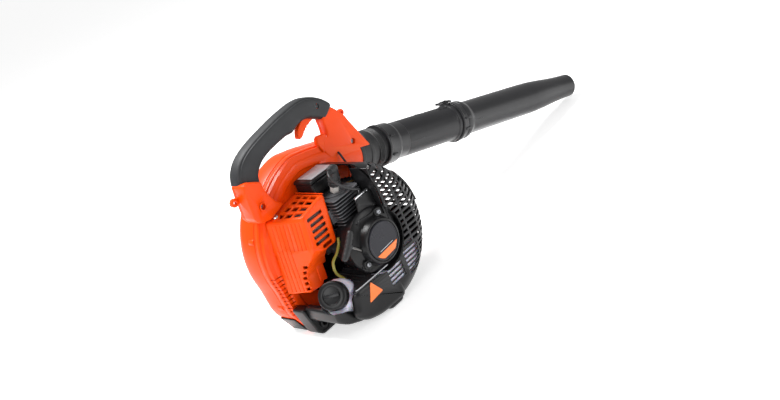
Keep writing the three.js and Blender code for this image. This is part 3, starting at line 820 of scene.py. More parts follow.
    def _pads(self, bench: Bench) -> None:
        """Makes the two ribbed pads under the volute.

        Args:
            bench: Where pieces are made.
        """
        rear = prism(rounded([(-132.8, -91.6), (-130.4, -90.3), (-114.3, -122.3), (-60, -122.3),
            (-60, -125), (-116, -125)], 1.2, 4), (157, 196), (1.5, 1.5), 4)
        grooves = [box((-110 + 7 * k, -107.5 + 7 * k), (160, 193), (-126, -124)) for k in range(7)]
        bench.piece("rear_foot_pad", rear.cut(scattered(grooves)), Finishes.BLACK,
            stands_for=["rear_skid"], edge=0.3)
        front = prism(rounded([(36, -121.8), (31, -125), (104, -125), (95, -92), (84, -88), (68, -100)],
            3, 4), (146, 206), (3, 3), 4)
        front = front.keep(box((20, 120), (140, 212), (-125, -80)))
        steps = [box((40 + 8 * k, 43 + 8 * k), (149, 203), (-126, -123.8)) for k in range(8)]
        bench.piece("front_foot_pad", front.cut(scattered(steps)), Finishes.BLACK,
            stands_for=["front_skid"], edge=0.3)


@dataclass
class AirTube:
    """The sleeve, the two tube sections and the latch that holds them."""

    y: float = 172.0
    pitch_deg: float = 15.9
    height: float = 130.0
    tube_radius: float = 35.5
    nozzle_radius: float = 33.8
    tip_radius: float = 25.0
    collar_radius: float = 39.5
    sleeve: tuple[float, float] = (178.3, 214.0)
    joint: float = 424.0
    taper: float = 690.0
    tip: float = 824.0
    gap: float = 0.3

    def axis(self) -> Axis:
        """The line down the middle of the tube."""
        pitch = math.radians(self.pitch_deg)
        return Axis((0, self.y, self.height), (math.cos(pitch), 0, -math.sin(pitch)))

    def spot(self, s: float, up: float = 0.0, side: float = 0.0) -> Vector:
        """Finds a point by its place on the tube.

        Args:
            s: Distance along the axis.
            up: Distance above it.
            side: Distance to the left of it.

        Returns:
            The point.
        """
        pitch = math.radians(self.pitch_deg)
        return Vector((s * math.cos(pitch) + up * math.sin(pitch), self.y + side,
            self.height - s * math.sin(pitch) + up * math.cos(pitch)))

    def block(self, s: Sequence[float], up: Sequence[float], angle: float, wide: float) -> Form:
        """A block that stands on the tube's surface.

        Args:
            s: Where it starts and ends along the tube.
            up: Its low and high distance from the axis.
            angle: Degrees round the tube from the top, to the left.
            wide: Its width.

        Returns:
            The block.
        """
        turn = math.radians(angle)
        rings = []
        for radius in up:
            ring = []
            for a, b in ((s[0], -1), (s[1], -1), (s[1], 1), (s[0], 1)):
                out = radius * math.cos(turn) - b * wide / 2 * math.sin(turn)
                side = radius * math.sin(turn) + b * wide / 2 * math.cos(turn)
                ring.append(self.spot(a, out, side))
            rings.append(ring)
        return loft(rings)

    def build(self, bench: Bench) -> None:
        """Makes the tube's pieces.

        Args:
            bench: Where pieces are made.
        """
        c, (e0, e1) = self.collar_radius, self.sleeve
        axis = self.axis()
        ribs: Outline = [(c - 5, 142.3), (c - 0.8, 142.3), (c - 0.2, 143.2), (c - 0.2, 150),
            (c - 1.4, 151.2), (c - 1.4, 166), (c - 0.3, 167.2), (c - 0.3, 174), (c - 3, 176),
            (c - 4, 180), (c - 4, e0 + 10)]
        for k in range(4):
            start = e0 + 11 + 3.6 * k
            ribs += [(c - 3, start), (c - 1.5, start + 0.7), (c - 1.5, start + 2.0), (c - 3, start + 2.7)]
        ribs += [(c - 4, e1 - 8), (c - 4, e1), (c - 7, e1), (c - 7, 180), (c - 5, 179)]
        bench.piece("outlet_cuff", turned(ribs, axis, 80), Finishes.RUBBER,
            stands_for=["outlet_sleeve"], edge=0.3)
        bench.piece("first_tube", self._first(), Finishes.TUBE, body="tube",
            stands_for=["blower_tube"], edge=0.3)
        bench.piece("second_tube", self._second(), Finishes.TUBE, body="nozzle",
            stands_for=["nozzle"], edge=0.3)
        self._latch(bench)

    def _first(self) -> Form:
        """Shapes the tube section next to the fan.

        Returns:
            The section.
        """
        c, t = self.collar_radius, self.tube_radius
        s0, s1 = self.sleeve[1] + self.gap, self.joint
        profile = [(t - 2.4, s0), (c + 0.8, s0), (c + 1.2, s0 + 0.8), (c + 1.2, s0 + 4.4),
            (c + 0.4, s0 + 5.6), (c, s0 + 6.4), (c, s0 + 27), (c - 0.4, s0 + 29.5), (c - 1.6, s0 + 32),
            (t + 0.6, s0 + 35), (t, s0 + 37.5), (t, s0 + 58), (t - 0.35, s0 + 58.4),
            (t - 0.35, s0 + 59.2), (t, s0 + 59.6), (t, s1 - 12), (t + 0.5, s1 - 9.5), (t + 2.2, s1 - 8),
            (t + 2.6, s1 - 7), (t + 2.6, s1), (t - 2.4, s1)]
        tube = turned(profile, self.axis(), 96)
        extras = [self.block((s0 + 9, s0 + 20), (c - 1, c + 1.4), angle, 4.2) for angle in (-118, -62, 28,
            118)]
        extras += [self.block((s0 + 76, s0 + 100), (t - 1, t + 0.45), -98, 1.1)]
        extras += [self.block((s0 + 118, s0 + 132), (t - 1, t + 0.5), 4, 1.3),
            self.block((s0 + 124, s0 + 126), (t - 1, t + 0.5), 4, 9)]
        extras += [self.block((s0 + 40, s1 - 12), (t - 1, t + 0.35), angle, 1.0) for angle in (0, 180)]
        return tube.add(*extras)

    def _second(self) -> Form:
        """Shapes the tube section with the tapered mouth.

        Returns:
            The section.
        """
        c, n, n0 = self.collar_radius, self.nozzle_radius, self.joint + self.gap
        profile = [(n - 2.3, n0), (c + 0.6, n0), (c + 1.2, n0 + 0.8), (c + 1.2, n0 + 5),
            (c + 0.3, n0 + 6.2), (c, n0 + 7.5), (c, n0 + 15), (c - 0.9, n0 + 15.6), (c - 0.9, n0 + 18),
            (c, n0 + 18.6), (c, n0 + 27), (c - 0.6, n0 + 30), (c - 2.4, n0 + 34), (n + 0.7, n0 + 39),
            (n, n0 + 43)]
        for k in range(1, 13):
            share = k / 12
            bend = share - math.sin(2 * math.pi * share) / (2 * math.pi) * 0.55
            profile.append((n + (self.tip_radius - n) * bend, self.taper - 30 + (self.tip - 3 - self.taper
                + 30) * share))
        profile += [(self.tip_radius + 0.1, self.tip - 0.6), (self.tip_radius - 0.5, self.tip),
            (self.tip_radius - 2.3, self.tip), (self.tip_radius - 2.5, self.tip - 1),
            (n - 2.3, self.taper - 30)]
        tube = turned(profile, self.axis(), 96)
        extras = [self.block((n0 + 8, n0 + 24), (c - 1, c + 1.3), angle, 4.6) for angle in (-112, -80, 60,
            150)]
        extras += [self.block((n0 + 44, self.taper - 30), (n - 1, n + 0.3), angle, 1.0) for angle in (0,
            180)]
        extras += [self.block((n0 + 50, n0 + 70), (n - 1, n + 0.4), -96, 1.1)]
        for turn in range(-170, 180, 4):
            if turn % 24:
                extras.append(self.block((n0 + 0.8, n0 + 4.8), (c, c + 1.8), turn, 0.9))
        return tube.add(*extras)

    def _latch(self, bench: Bench) -> None:
        """Makes the wire latch across the joint.

        Args:
            bench: Where pieces are made.
        """
        n0, c = self.joint + self.gap, self.collar_radius
        path = [self.spot(n0 - 3, c + 3.4, -9), self.spot(n0 + 4, c + 4.2, -9), self.spot(n0 + 4, c + 4.2,
            9), self.spot(n0 - 3, c + 3.4, 9)]
        pivot = rod(path[1], path[2], 2.3, 20)
        arms = [hose([self.spot(n0 + 4, c + 4.2, side), self.spot(n0 - 8, c + 4.2, side),
            self.spot(n0 - 17, c + 2.8, side), self.spot(n0 - 22, c + 2.6, side)], (1.7,), 14, 6)
            for side in (-6, 6)]
        tab = rod(self.spot(n0 - 22, c + 2.6, -8), self.spot(n0 - 22, c + 2.6, 8), 2.5, 20)
        bench.piece("joint_latch", scattered([pivot, tab, *arms]), Finishes.BLACK, body="latch",
            stands_for=["tube_latch"], edge=0.3)


@dataclass
class Handle:
    """The orange handle legs, the soft grip, the trigger and the small controls on them."""

    middle: float = 150.0
    half_width: float = 15.0
    left_y: float = 158.0
    gap: float = 0.3
    grip_half: float = 17.0
    grip: tuple = ((-130, 181, -86, 165), (-123, 198, -83, 175), (-109, 213, -73, 186), (-89, 223.5, -60,
        193.5), (-60, 232, -42, 198.5), (-30, 238, -20, 201.5), (0, 243, 0, 203.5), (24, 245.6, 15, 202),
        (34, 246.4, 27, 206.5), (48, 246.6, 40, 209.5), (66, 244.6, 56, 208.5), (86, 237, 68, 202.5),
        (103, 225.5, 80, 195.5), (118, 209, 89, 190.5))
    rear: tuple = ((-132, 181), (-135, 160), (-138, 120), (-130, 108), (-106, 103), (-71, 113),
        (-84, 126), (-92, 142), (-96, 157), (-95, 170), (-121, 183))
    front: tuple = ((92, 205), (110, 206), (118, 198), (134, 177), (140, 160), (166, 96), (160, 88),
        (120, 97), (78, 110), (62, 136), (63, 150), (72, 160), (83, 160), (86, 178), (85, 190))
    block: tuple = ((54, 158), (58, 172), (78, 168), (80, 148), (60, 138))
    eyes: tuple = ((-144.5, 157.0, 7.6, 3.4), (139.5, 178.0, 6.4, 3.0))

    def build(self, bench: Bench, housing: FanHousing, tube: AirTube) -> None:
        """Makes the handle's pieces.

        Args:
            bench: Where pieces are made.
            housing: The volute, which the legs stand on.
            tube: The air tube, which the front leg straddles.
        """
        self._legs(bench, housing, tube)
        self._grip(bench)
        self._trigger(bench)
        self._controls(bench)

    def _legs(self, bench: Bench, housing: FanHousing, tube: AirTube) -> None:
        """Makes the two halves of the legs.

        Args:
            bench: Where pieces are made.
            housing: The volute.
            tube: The air tube.
        """
        y = (self.middle - self.half_width, self.middle + self.half_width)
        rear = prism(rounded(list(self.rear), 5, 6), (y[0] - 12, self.left_y), (2.4, 2.4), 5)
        front = prism(rounded(list(self.front), 6, 6), (y[0], self.left_y), (2.4, 2.4), 5)
        lugs = [prism(rounded(list(self.block), 4, 5), (y[0] + 0.4, y[0] + 11), (1.5, 1.5), 4)]
        for x, z, outer, _ in self.eyes:
            lugs.append(turned([(0, 0), (outer - 1.2, 0), (outer, 1.2), (outer, 6.8), (outer - 1.2, 8),
                (0, 8)], Axis((x, 145.5, z), (0, 1, 0)), 40))
            inward = -1 if x > 0 else 1
            lugs.append(box(sorted((x + inward * 2, x + inward * 13)), (146.2, 152.8), (z - outer * 0.7,
                z + outer * 0.7)))
        core = self._bar(13.5, 13.5, 0)
        body = rear.join(front, core, *lugs)
        clear = [Vector((p.x, 0, p.y)) * (1 - 1.5 / p.length) for p in housing.outline()]
        hollow = loft([[Vector((p.x, yy, p.z)) for p in clear] for yy in (137, 230)])
        tools = [hollow, turned([(0, 30), (38, 30), (38, 141), (0, 141)], tube.axis(), 64),
            turned([(0, 141), (39.8, 141), (39.8, 240), (0, 240)], tube.axis(), 64)]
        tools += [disc(inner, (100, 200), (x, z), 28) for x, z, _, inner in self.eyes]
        tools += [disc(7.2, (100, y[0] - 7.2), (-113, 132), 40), disc(5.6, (100, y[0] + 6), (130, 124),
            40), disc(3.8, (100, y[0] + 12), (-113, 132), 32)]
        tools += [disc(4.4, (self.left_y - 4, 200), (-113, 132), 32), disc(4.4, (self.left_y - 4, 200),
            (130, 124), 32)]
        tools += [box((20, 82), (self.middle - 7, self.middle + 7), (168, 217))]
        halves = {"right": ((-300, 300), (0, self.middle - self.gap / 2), (0, 400)), "left": ((-300, 300),
            (self.middle + self.gap / 2, 300), (0, 400))}
        for side, limits in halves.items():
            bench.piece(f"handle_leg_{side}", body.keep(box(*limits)).cut(*tools), Finishes.ORANGE,
                stands_for=[f"handle_shell_{side}"], edge=0.6)
        ring = turned([(5.2, 0), (7.2, 0), (7.2, 1.6), (6.6, 2.2), (5.8, 2.2), (5.2, 1.6)],
            Axis((-113, y[0] - 14.0 + 1.5, 132), (0, -1, 0)), 40)
        bench.piece("rear_leg_screw_seat", ring, Finishes.ORANGE, edge=0.2)
        bench.piece("rear_leg_bolt", Screw(4.2, 3.0).head((-113, y[0] - 5.4, 132), (0, -1, 0)),
            Finishes.CAST, stands_for=["rear_leg_screw"], edge=0.2)
        bench.piece("front_leg_bolt", Screw(4.2, 3.0).head((130, y[0] + 6.4, 124), (0, -1, 0)),
            Finishes.CAST, stands_for=["front_leg_screw"], edge=0.2)

    def _bar(self, high: float, wide: float, bulge: float) -> Form:
        """A bar along the grip's middle line with a rounded-square section.

        Args:
            high: Half height, or 0 to fill the grip's own outline.
            wide: Half width.
            bulge: Extra half width added to the sides all along the bar.

        Returns:
            The bar.
        """
        knots = [(0.5 * (a + c), 0.5 * (b + d), 0.5 * math.hypot(a - c, b - d), (a - c, b - d)) for a, b,
            c, d in self.grip]
        middles = smooth_path([(k[0], self.middle, k[1]) for k in knots], 5)
        halves = smooth_path([(k[2], k[3][0], k[3][1]) for k in knots], 5)
        rings = []
        for spot, size in zip(middles, halves):
            up = Vector((size.y, 0, size.z)).normalized()
            tall = high or size.x
            ring = []
            for i in range(56):
                turn = 2 * math.pi * i / 56
                c, s = math.cos(turn), math.sin(turn)
                a = math.copysign(abs(c) ** 0.56, c) * (wide + bulge)
                b = math.copysign(abs(s) ** 0.56, s) * tall
                near, far = (turn - 0.86) / 0.09, (turn - math.pi + 0.86) / 0.09
                dent = 1 - 0.07 * math.exp(-(near ** 2)) - 0.07 * math.exp(-(far ** 2))
                ring.append(spot + Vector((0, a * (dent if not high else 1), 0))
                    + up * (b * (dent if not high else 1)))
            rings.append(ring)
        return loft(rings)

    def _grip(self, bench: Bench) -> None:
        """Makes the soft grip.

        Args:
            bench: Where pieces are made.
        """
        grip = self._bar(0, self.grip_half, 0)
        tools = [box((22, 80), (self.middle - 6.8, self.middle + 6.8), (168, 216)),
            disc(4.6, (100, self.middle - 12), (84, 219), 36)]
        grip = grip.cut(*tools)
        bench.piece("soft_grip", grip, Finishes.GRIP, stands_for=["handle_grip"], edge=0.5,
            angle=40)
        bench.piece("grip_screw", Screw(3.6, 2.4).head((84, self.middle - 13.6, 219), (0, -1, 0)),
            Finishes.DARK_CAST, edge=0.15)

    def _trigger(self, bench: Bench) -> None:
        """Makes the trigger with its finger hook.

        Args:
            bench: Where pieces are made.
        """
        shape = rounded([(78, 212), (80, 202), (70, 199), (56, 196), (45, 190), (38, 183.5), (31, 182),
            (26.5, 185), (30, 193), (34, 201), (46, 209), (60, 213)], 5, 6)
        lever = prism(shape, (self.middle - 6, self.middle + 6), (2.2, 2.2), 5).cut(disc(2.3, (120, 180),
            (72, 203), 24))
        ribs = [rod((42 + 6 * k, self.middle - 5.2, 188.6 + 2.6 * k), (42 + 6 * k, self.middle + 5.2,
            188.6 + 2.6 * k), 0.9, 10) for k in range(4)]
        bench.piece("finger_trigger", lever.add(*ribs), Finishes.ORANGE, body="trigger",
            stands_for=["trigger"], edge=0.3)

    def _controls(self, bench: Bench) -> None:
        """Makes the stop slider and the throttle cable.

        Args:
            bench: Where pieces are made.
        """
        y = self.left_y
        slider = prism(rounded([(98, 186), (110, 186), (110, 196), (98, 196)], 2, 4), (y + 0.3, y + 5.8),
            (0.5, 1.5), 4)
        ribs = [rod((100.4 + 2.4 * k, y + 5.4, 187.4), (100.4 + 2.4 * k, y + 5.4, 194.6), 0.6, 10)
            for k in range(4)]
        bench.piece("stop_slider", slider.add(*ribs), Finishes.RED, body="stop_switch",
            stands_for=["stop_switch"], edge=0.2)
        route = [(88, 134.6, 124), (86, 129, 120), (84, 122, 110), (77, 106, 98), (70, 97, 91),
            (64, 93.5, 88)]
        bench.piece("throttle_bowden", hose(route, (2, 2), 16, 8), Finishes.RUBBER,
            stands_for=["throttle_cable"], edge=0)


@dataclass
class MufflerCover:
    """The slotted orange cover over the hot side of the engine."""

    front_y: float = 60.0
    low_y: float = 90.0
    back_y: float = 135.7
    wall: float = 2.6
    lean: float = 0.28
    upper: tuple = ((-33, 111.5), (-93, 98.5), (-103, 39), (-79, 25), (-46, 25))
    lower: tuple = ((-61, 30), (-101, 39), (-111.6, -36), (-80, -40), (-62, 8))
    slope: tuple = ((46, 60), (36, 60.6), (27, 65), (15, 77), (5, 86), (-6, 90))

    def leaned(self, form: Form) -> Form:
        """Leans the rear face back towards the fan housing.

        Args:
            form: A form whose rear face is square to the crank.

        Returns:
            The same form, leaned.
        """
        for p in form.points:
            share = min(1.0, max(0.0, (-60 - p.x) / 30))
            p.x -= self.lean * max(0.0, p.y - self.front_y) * share
        return form

    def shell(self, inward: float) -> Form:
        """The cover's outside, filled and moved inwards by a distance.

        Args:
            inward: The distance, 0 for the outside.

        Returns:
            The filled form.
        """
        end = self.back_y + (5 if inward else 0)
        parts = []
        for outline, start, soft, corner in ((self.upper, self.front_y, 4.0, 7.0),
                (self.lower, self.low_y, 4.0, 7.0)):
            soft = max(0.5, soft - inward)
            corners = [tuple(v) for v in inset(list(outline), inward)] if inward else list(outline)
            parts.append(prism(rounded(corners, corner - inward, 6), (start + inward, end), (soft, 0), 6))
        rings = []
        for z, y0 in self.slope:
            rear = -103 - 0.1147 * (39 - z) + inward
            corners = [(rear, y0 + inward), (-62 - inward, y0 + inward), (-62 - inward, end - 0.2),
                (rear, end - 0.2)]
            rings.append([Vector((a, b, z)) for a, b in rounded(corners, 4.4 - inward, 5)])
        return parts[0].join(parts[1], loft(rings))

    def build(self, bench: Bench) -> None:
        """Makes the cover and its screw.

        Args:
            bench: Where pieces are made.
        """
        shell = self.shell(0).cut(self.shell(self.wall))
        shell = shell.cut(box((-60, -20), (64, 140), (34, 96)), box((-95, -60), (100, 140), (-50, 10)))
        shell = self.leaned(shell.cut(*self._side_slots(), *self._top_slots(), *self._squares(),
            *self._grooves()))
        bench.piece("muffler_shroud", shell, Finishes.ORANGE,
            stands_for=["muffler_cover"], edge=0.5)
        ridge = hose([(-33.5, 62.5, 110.9), (-33.5, 100, 111.2), (-33.5, 134, 111.2)], (1.0, 1.0), 10, 4)
        bench.piece("shroud_rim", ridge, Finishes.ORANGE, edge=0)
        seat, way = (-99.4, 122, 102.2), (-0.2, -0.1, 1.0)
        bench.piece("shroud_screw", Screw(4.8, 3.4).head(seat, way), Finishes.STEEL,
            stands_for=["cover_screw"], edge=0.2)
        boss = turned([(0, -4), (6.6, -4), (7.2, -2), (7.2, -0.3), (0, -0.3)], Axis(seat, way), 36)
        bench.piece("shroud_screw_boss", boss, Finishes.ORANGE, edge=0.4)
        flap = prism(rounded([(-70, 22), (-86, 16), (-92, -30), (-76, -34)], 3, 4), (self.low_y - 1.3,
            self.low_y + 2), (1.0, 0), 4)
        bench.piece("shroud_flap", flap, Finishes.ORANGE, edge=0.3)

    def _side_slots(self) -> list[Form]:
        """The louvres in the outer face."""
        slots = []
        for k in range(6):
            z = 92.2 - 11.2 * k
            left, right = (-78 if k == 5 else -87 - 1.6 * k + (4 if k else 0)), -50.5 - 0.9 * k
            slots.append(prism(rounded([(left, z), (right, z), (right, z - 6.8), (left, z - 6.8)], 2.8,
                5), (50, 72)))
        return slots

    def _top_slots(self) -> list[Form]:
        """The louvres in the top face."""
        slots = []
        for row in range(4):
            for y0, y1 in ((69, 86), (90, 105), (109, 122)):
                x = -87 + 13 * row
                slots.append(box((x, x + 8.4), (y0, y1), (88, 125)))
        return slots

    def _squares(self) -> list[Form]:
        """The small square holes low on the outer edge."""
        return [box((-106.5 - 1.5 * k, -100.5 - 1.5 * k), (80, 89 + min(8, 4 * k)),
            (9 - 10 * k, 15 - 10 * k)) for k in range(5)]

    def _grooves(self) -> list[Form]:
        """The shallow grooves that run down the rear face."""
        line = [(-94.2, 92), (-103, 39), (-111, -31)]
        grooves = []
        for k in range(8):
            y = 69 + 8 * k
            path = line if y >= self.low_y + 5 else [line[0], (-102.4, 43)]
            deep = [(x + 1.2, z) for x, z in path]
            proud = [(x - 3, z) for x, z in path[::-1]]
            grooves.append(prism(deep + proud, (y, y + 1.5)))
        return grooves


@dataclass
class EngineCover:
    """The black cage over the engine with its closed lower part."""

    radius: float = 134.0
    end_y: float = 135.7
    wall: float = 2.6
    cut_z: float = -46.0
    rear_x: float = 38.0
    floor_z: float = -121.0
    pitch: float = 10.0
    slot: float = 5.6

    def dome(self, inward: float) -> Form:
        """The cage's outside, filled and moved inwards by a distance."""
        edge = [(92, 11), (102, 13.6), (112, 19), (120, 25.6), (126, 33), (131, 42), (134, 52), (134, 90)]
        profile = [(0.0, 9 + inward)] + [(r - inward, y + inward) for r, y in edge] + [(134 - inward,
            self.end_y + inward * 2), (0.0, self.end_y + inward * 2)]
        return turned(profile, Axis((0, 0, 0), (0, 1, 0)), 128)

    def guard(self, inward: float) -> Form:
        """The closed shell round the tank, filled and moved inwards by a distance."""
        w = inward
        corners = [(14, self.cut_z), (-92 + w, self.cut_z), (-97 + w, -70), (-106 + w, -90),
            (-84, -110 + w), (-50, -119 + w), (14, -121 + w)]
        return prism(rounded(corners, 14, 6), (10 + w, self.end_y + 2 * w), (13.0 - w, 0.0), 8)

    def build(self, bench: Bench) -> None:
        """Makes the cage and its foot.

        Args:
            bench: Where pieces are made.
        """
        w = self.wall
        keep = box((self.rear_x, 200), (-10, 200), (-200, 200)).join(box((-6, 200), (-10, 200),
            (-200, self.cut_z)))
        outside = self.dome(0).keep(box((-200, 200), (-10, 200), (self.floor_z, 200)),
            keep).join(self.guard(0))
        inside = self.dome(w).keep(box((-200, 200), (-10, 200), (self.floor_z + w,
            200))).join(self.guard(w))
        tube = AirTube()
        tools = [inside, box((-140, -86), (24, 150), (-116, -40)), box((-140, 0), (24, 150), (-60, -40)),
            turned([(0, 40), (39.8, 40), (39.8, 200), (0, 200)], tube.axis(), 64), disc(58, (0, 40),
            (0, 0), 72)]
        shell = outside.cut(*tools)
        shell = shell.cut(self._slots())
        baffle = prism(rounded([(self.rear_x, 30), (self.rear_x + 2, 30), (self.rear_x + 2, 119),
            (self.rear_x, 119)], 0.5, 2), (17, 60))
        wing = turned([(124.5, 29.5), (128.5, 30.5), (133.2, 40.5), (137, 50), (137.4, 56), (137, 60),
            (133.8, 60), (133.8, 52), (130.8, 42), (125.8, 33)], Axis((0, 0, 0), (0, 1, 0)), 160)
        wing = wing.keep(prism([(20, 1), (200, 8), (200, 120), (20, 11)], (10, 80)))
        bench.piece("engine_cage", shell, Finishes.BLACK, stands_for=["engine_cover"],
            edge=0.35)
        bench.piece("cage_baffle", baffle, Finishes.BLACK, edge=0.4)
        bench.piece("cage_wing", wing, Finishes.BLACK, edge=0.5)
        foot = prism(rounded([(-44, -96), (-30, -88), (11, -92), (14, -106), (2, -125), (-27, -125),
            (-46, -112)], 6, 6), (14, 46), (7, 4), 7)
        bench.piece("cage_foot", foot, Finishes.BLACK, edge=0.3)
        # A pale grey bead along the top edge of the lower shell: a painted highlight standing in for the
        # light caught on that edge.
        seam = hose([(-88, 12.6, self.cut_z + 0.3), (-80, 10.4, self.cut_z + 0.5),
            (-45, 9.8, self.cut_z + 0.6), (-6, 9.6, self.cut_z + 0.6)], (0.9, 0.9), 12, 4)
        bench.piece("cover_top_painted_highlight", seam, Finishes.PRINT_AND_HIGHLIGHT, edge=0)
        patch = prism(rounded([(-55, -49), (-72, -80.5), (-36.5, -77.5)], 2.5, 5), (9.3, 10.2))
        bench.piece("plain_colour_patch", patch, Finishes.ACCENT, edge=0.1)
        ring = turned([(56.4, 12), (58, 11), (58, 34), (56.4, 34)], Axis((0, 0, 0), (0, 1, 0)), 128)
        ring = ring.keep(box((28, 70), (0, 40), (-60, 28)).join(box((-8, 70), (0, 40), (-60, -34))))
        bench.piece("cage_collar", ring, Finishes.BLACK, edge=0.2)
        liner = turned([(116.6, 36), (118.6, 36), (118.6, 134.6), (116.6, 134.6)], Axis((0, 0, 0),
            (0, 1, 0)), 128)
        liner = liner.keep(box((self.rear_x + 2, 200), (0, 200), (-108, -4)))
        bench.piece("cage_liner", liner, Finishes.BLACK, edge=0.2)
        self._deck(bench)

    def _deck(self, bench: Bench) -> None:
        """Makes the deck over the tank and the cradle round its lower edge.

        Args:
            bench: Where pieces are made.
        """
        fuel = FuelSystem()
        throat = rod(fuel.axis().at(-20), fuel.axis().at(60), 32.5, 64)
        deck = box((-90, 30), (13, 106), (-50.4, -47.6)).cut(throat, disc(59.5, (0, 31), (0, 0), 72))
        ribs = [box((-60 + 16 * k, -58.4 + 16 * k), (32, 104), (-48, -45.4)) for k in range(5)]
        bench.piece("tank_deck", deck.join(*ribs).cut(throat), Finishes.BLACK, edge=0.4)
        outer = rounded([(-134, -60), (-133, -84), (-113, -99.5), (-84, -111.5), (-40, -120.5),
            (-30, -100), (-84, -90), (-104, -78), (-122, -58)], 6, 6)
        body = rounded(list(fuel.outline), 12, 6)
        cradle = prism(outer, (29, 106.4), (6, 0), 6).cut(prism(body, (33.4, 120), (8, 0), 6), throat)
        bench.piece("tank_cradle", cradle, Finishes.BLACK, edge=0.4)

    def _slots(self) -> Form:
        """The rows of openings, as one form of separate bars.

        Returns:
            The bars to cut away.
        """
        bars = []
        count = int(216 / self.pitch)
        for k in range(count):
            z = -42 + self.pitch * k
            if z > 112:
                break
            top = z + self.slot
            near = self.rear_x + 5
            for x0, x1, y0, y1 in ((near, 66, -2, 46), (70, 92, -2, 52), (96, 150, -2, 40), (96, 150, 44,
                    84), (96, 150, 88, 129)):
                if not (z > 70 and y0 > 80):
                    bars.append(box((x0, x1), (y0, y1), (z, top)))
            if z > 60:
                bars.append(box((near, 92), (60, 92), (z, top)))
        for k in range(6):
            z = -53.5 - 8.2 * k
            for x0, x1, y0, y1 in ((-12, 26, -2, 18), (36, 74, -2, 40), (78, 92, -2, 52), (96, 150, -2,
                    40), (96, 150, 44, 84), (96, 150, 88, 129)):
                if x0 > -12 or k < 5:
                    bars.append(box((x0, x1), (y0, y1), (z, z + 5.7)))
        return scattered(bars)


@dataclass
class Starter:
    """The recoil starter: its housing, badge, screws, handle and rope."""

    badge_radius: float = 34.0
    pulley_radius: float = 25.0
    screws: tuple = ((24.0, 42.0), (-39.0, -24.5))
    band_deg: float = 4.0

    def build(self, bench: Bench) -> None:
        """Makes the starter's pieces.

        Args:
            bench: Where pieces are made.
        """
        axis = Axis((0, 0, 0), (0, 1, 0))
        cup = turned([(0, 3.2), (35.4, 3.2), (35.4, 1.8), (36.6, 1.2), (38.4, 1.8), (39.4, 4), (40.6, 9),
            (41.6, 17), (44, 19.6), (50, 21.4), (56, 23.4), (58, 25.4), (58, 29), (40, 29), (36, 20),
            (36, 6), (0, 6)], axis, 96)
        plate = prism(rounded([(-20, 50), (54, 44), (54, -44), (0, -46), (-34, -46), (-52, -30),
            (-36, -8), (-34, 20)], 8, 6), (19.5, 26), (1.5, 0.5), 4)
        hub_hole = disc(38.5, (10, 30), (0, 0), 72)
        lugs = [prism(rounded([(a - 9, b - 7), (a + 8, b - 9), (a + 9, b + 7), (a - 7, b + 9)], 6, 6),
            (15.5, 29), (1.8, 0), 5) for a, b in self.screws]
        ribs = [box((-33, -31), (20, 27), (-38, 18)), box((-24, 18), (18.4, 27), (45.2, 47)),
            box((44, 46), (18.6, 27), (-38, 40))]
        body = cup.join(plate.cut(hub_hole), *lugs, *ribs)
        way = rod((-26, 17.5, -9.4), (-62, 17.5, 26.6), 3.4, 20)
        body = body.cut(way, *[disc(2.4, (10, 40), at, 20) for at in self.screws])
        bench.piece("starter_cowl", body, Finishes.BLACK, stands_for=["starter_housing"],
            edge=0.4)
        for at, node in zip(self.screws, ("starter_screw_upper", "starter_screw_lower")):
            bench.piece(node.replace("starter_screw", "cowl_screw"), Screw(4.4, 3.2).head((at[0], 15.2,
                at[1]), (0, -1, 0)), Finishes.CAST, stands_for=[node], edge=0.2)
        self._badge(bench)
        self._pull(bench)

    def _badge(self, bench: Bench) -> None:
        """Makes the plain badge with its coloured band.

        Args:
            bench: Where pieces are made.
        """
        r = self.badge_radius
        axis = Axis((0, 0, 0), (0, 1, 0))
        base = turned([(0, 0.7), (r - 3.4, 0.7), (r - 2.6, 0.2), (r - 1.4, 0.2), (r, 1.4), (r, 3),
            (0, 3)], axis, 96)
        bench.piece("starter_badge", base, Finishes.BADGE, stands_for=["hub_badge"],
            edge=0)
        turn = math.radians(self.band_deg)
        face = disc(r - 3.6, (0.25, 0.9), (0, 0), 96)
        for name, low, high, finish in (("badge_band", -27.0, -15.5, Finishes.ACCENT), ("badge_line",
                -12.2, -11.2, Finishes.PRINT_AND_HIGHLIGHT)):
            reach = 40 if name == "badge_band" else 17
            corners = [(-reach, low), (reach, low), (reach, high), (-reach, high)]
            flat = [(a * math.cos(turn) - b * math.sin(turn), a * math.sin(turn) + b * math.cos(turn))
                for a, b in corners]
            bench.piece(name, face.keep(prism(flat, (-1, 2))), finish, edge=0.1)

    def _pull(self, bench: Bench) -> None:
        """Makes the starter handle and the rope behind it.

        Args:
            bench: Where pieces are made.
        """
        way = Vector((-math.sqrt(0.5), 0, math.sqrt(0.5)))
        start = Vector((-self.pulley_radius * math.sqrt(0.5), 17.5, -self.pulley_radius * math.sqrt(0.5)))
        across = Vector((math.sqrt(0.5), 0, math.sqrt(0.5)))
        centre = start + way * 63
        rings = []
        for k in range(25):
            t = -1 + k / 12
            size = 6.6 * (1 - abs(t) ** 6 * 0.35) * (1 + 0.05 * math.cos(t * 22))
            spot = centre + across * (26 * t) + way * (2.0 * (t * t - 0.4))
            ring = []
            for i in range(28):
                a = 2 * math.pi * i / 28
                ring.append(spot + Vector((0, 1, 0)) * (math.cos(a) * size)
                    + way * (math.sin(a) * size * 0.9))
            rings.append(ring)
        bar = loft(rings).join(rod(start + way * 57, start + way * 63, 7, 28)).cut(rod(start + way * 48,
            start + way * 58, 2.3, 16))
        bench.piece("pull_handle", bar, Finishes.RUBBER, body="starter_grip",
            stands_for=["starter_grip"], edge=0.3)
        first, last = start + way * 26, start + way * 60
        points = [first.lerp(last, k / 6) for k in range(7)]
        rope = bench.piece("pull_rope", hose(points, (1.9, 1.9), 12, 8), Finishes.ROPE, body=None,
            stands_for=["starter_rope"], edge=0)
        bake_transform(rope)


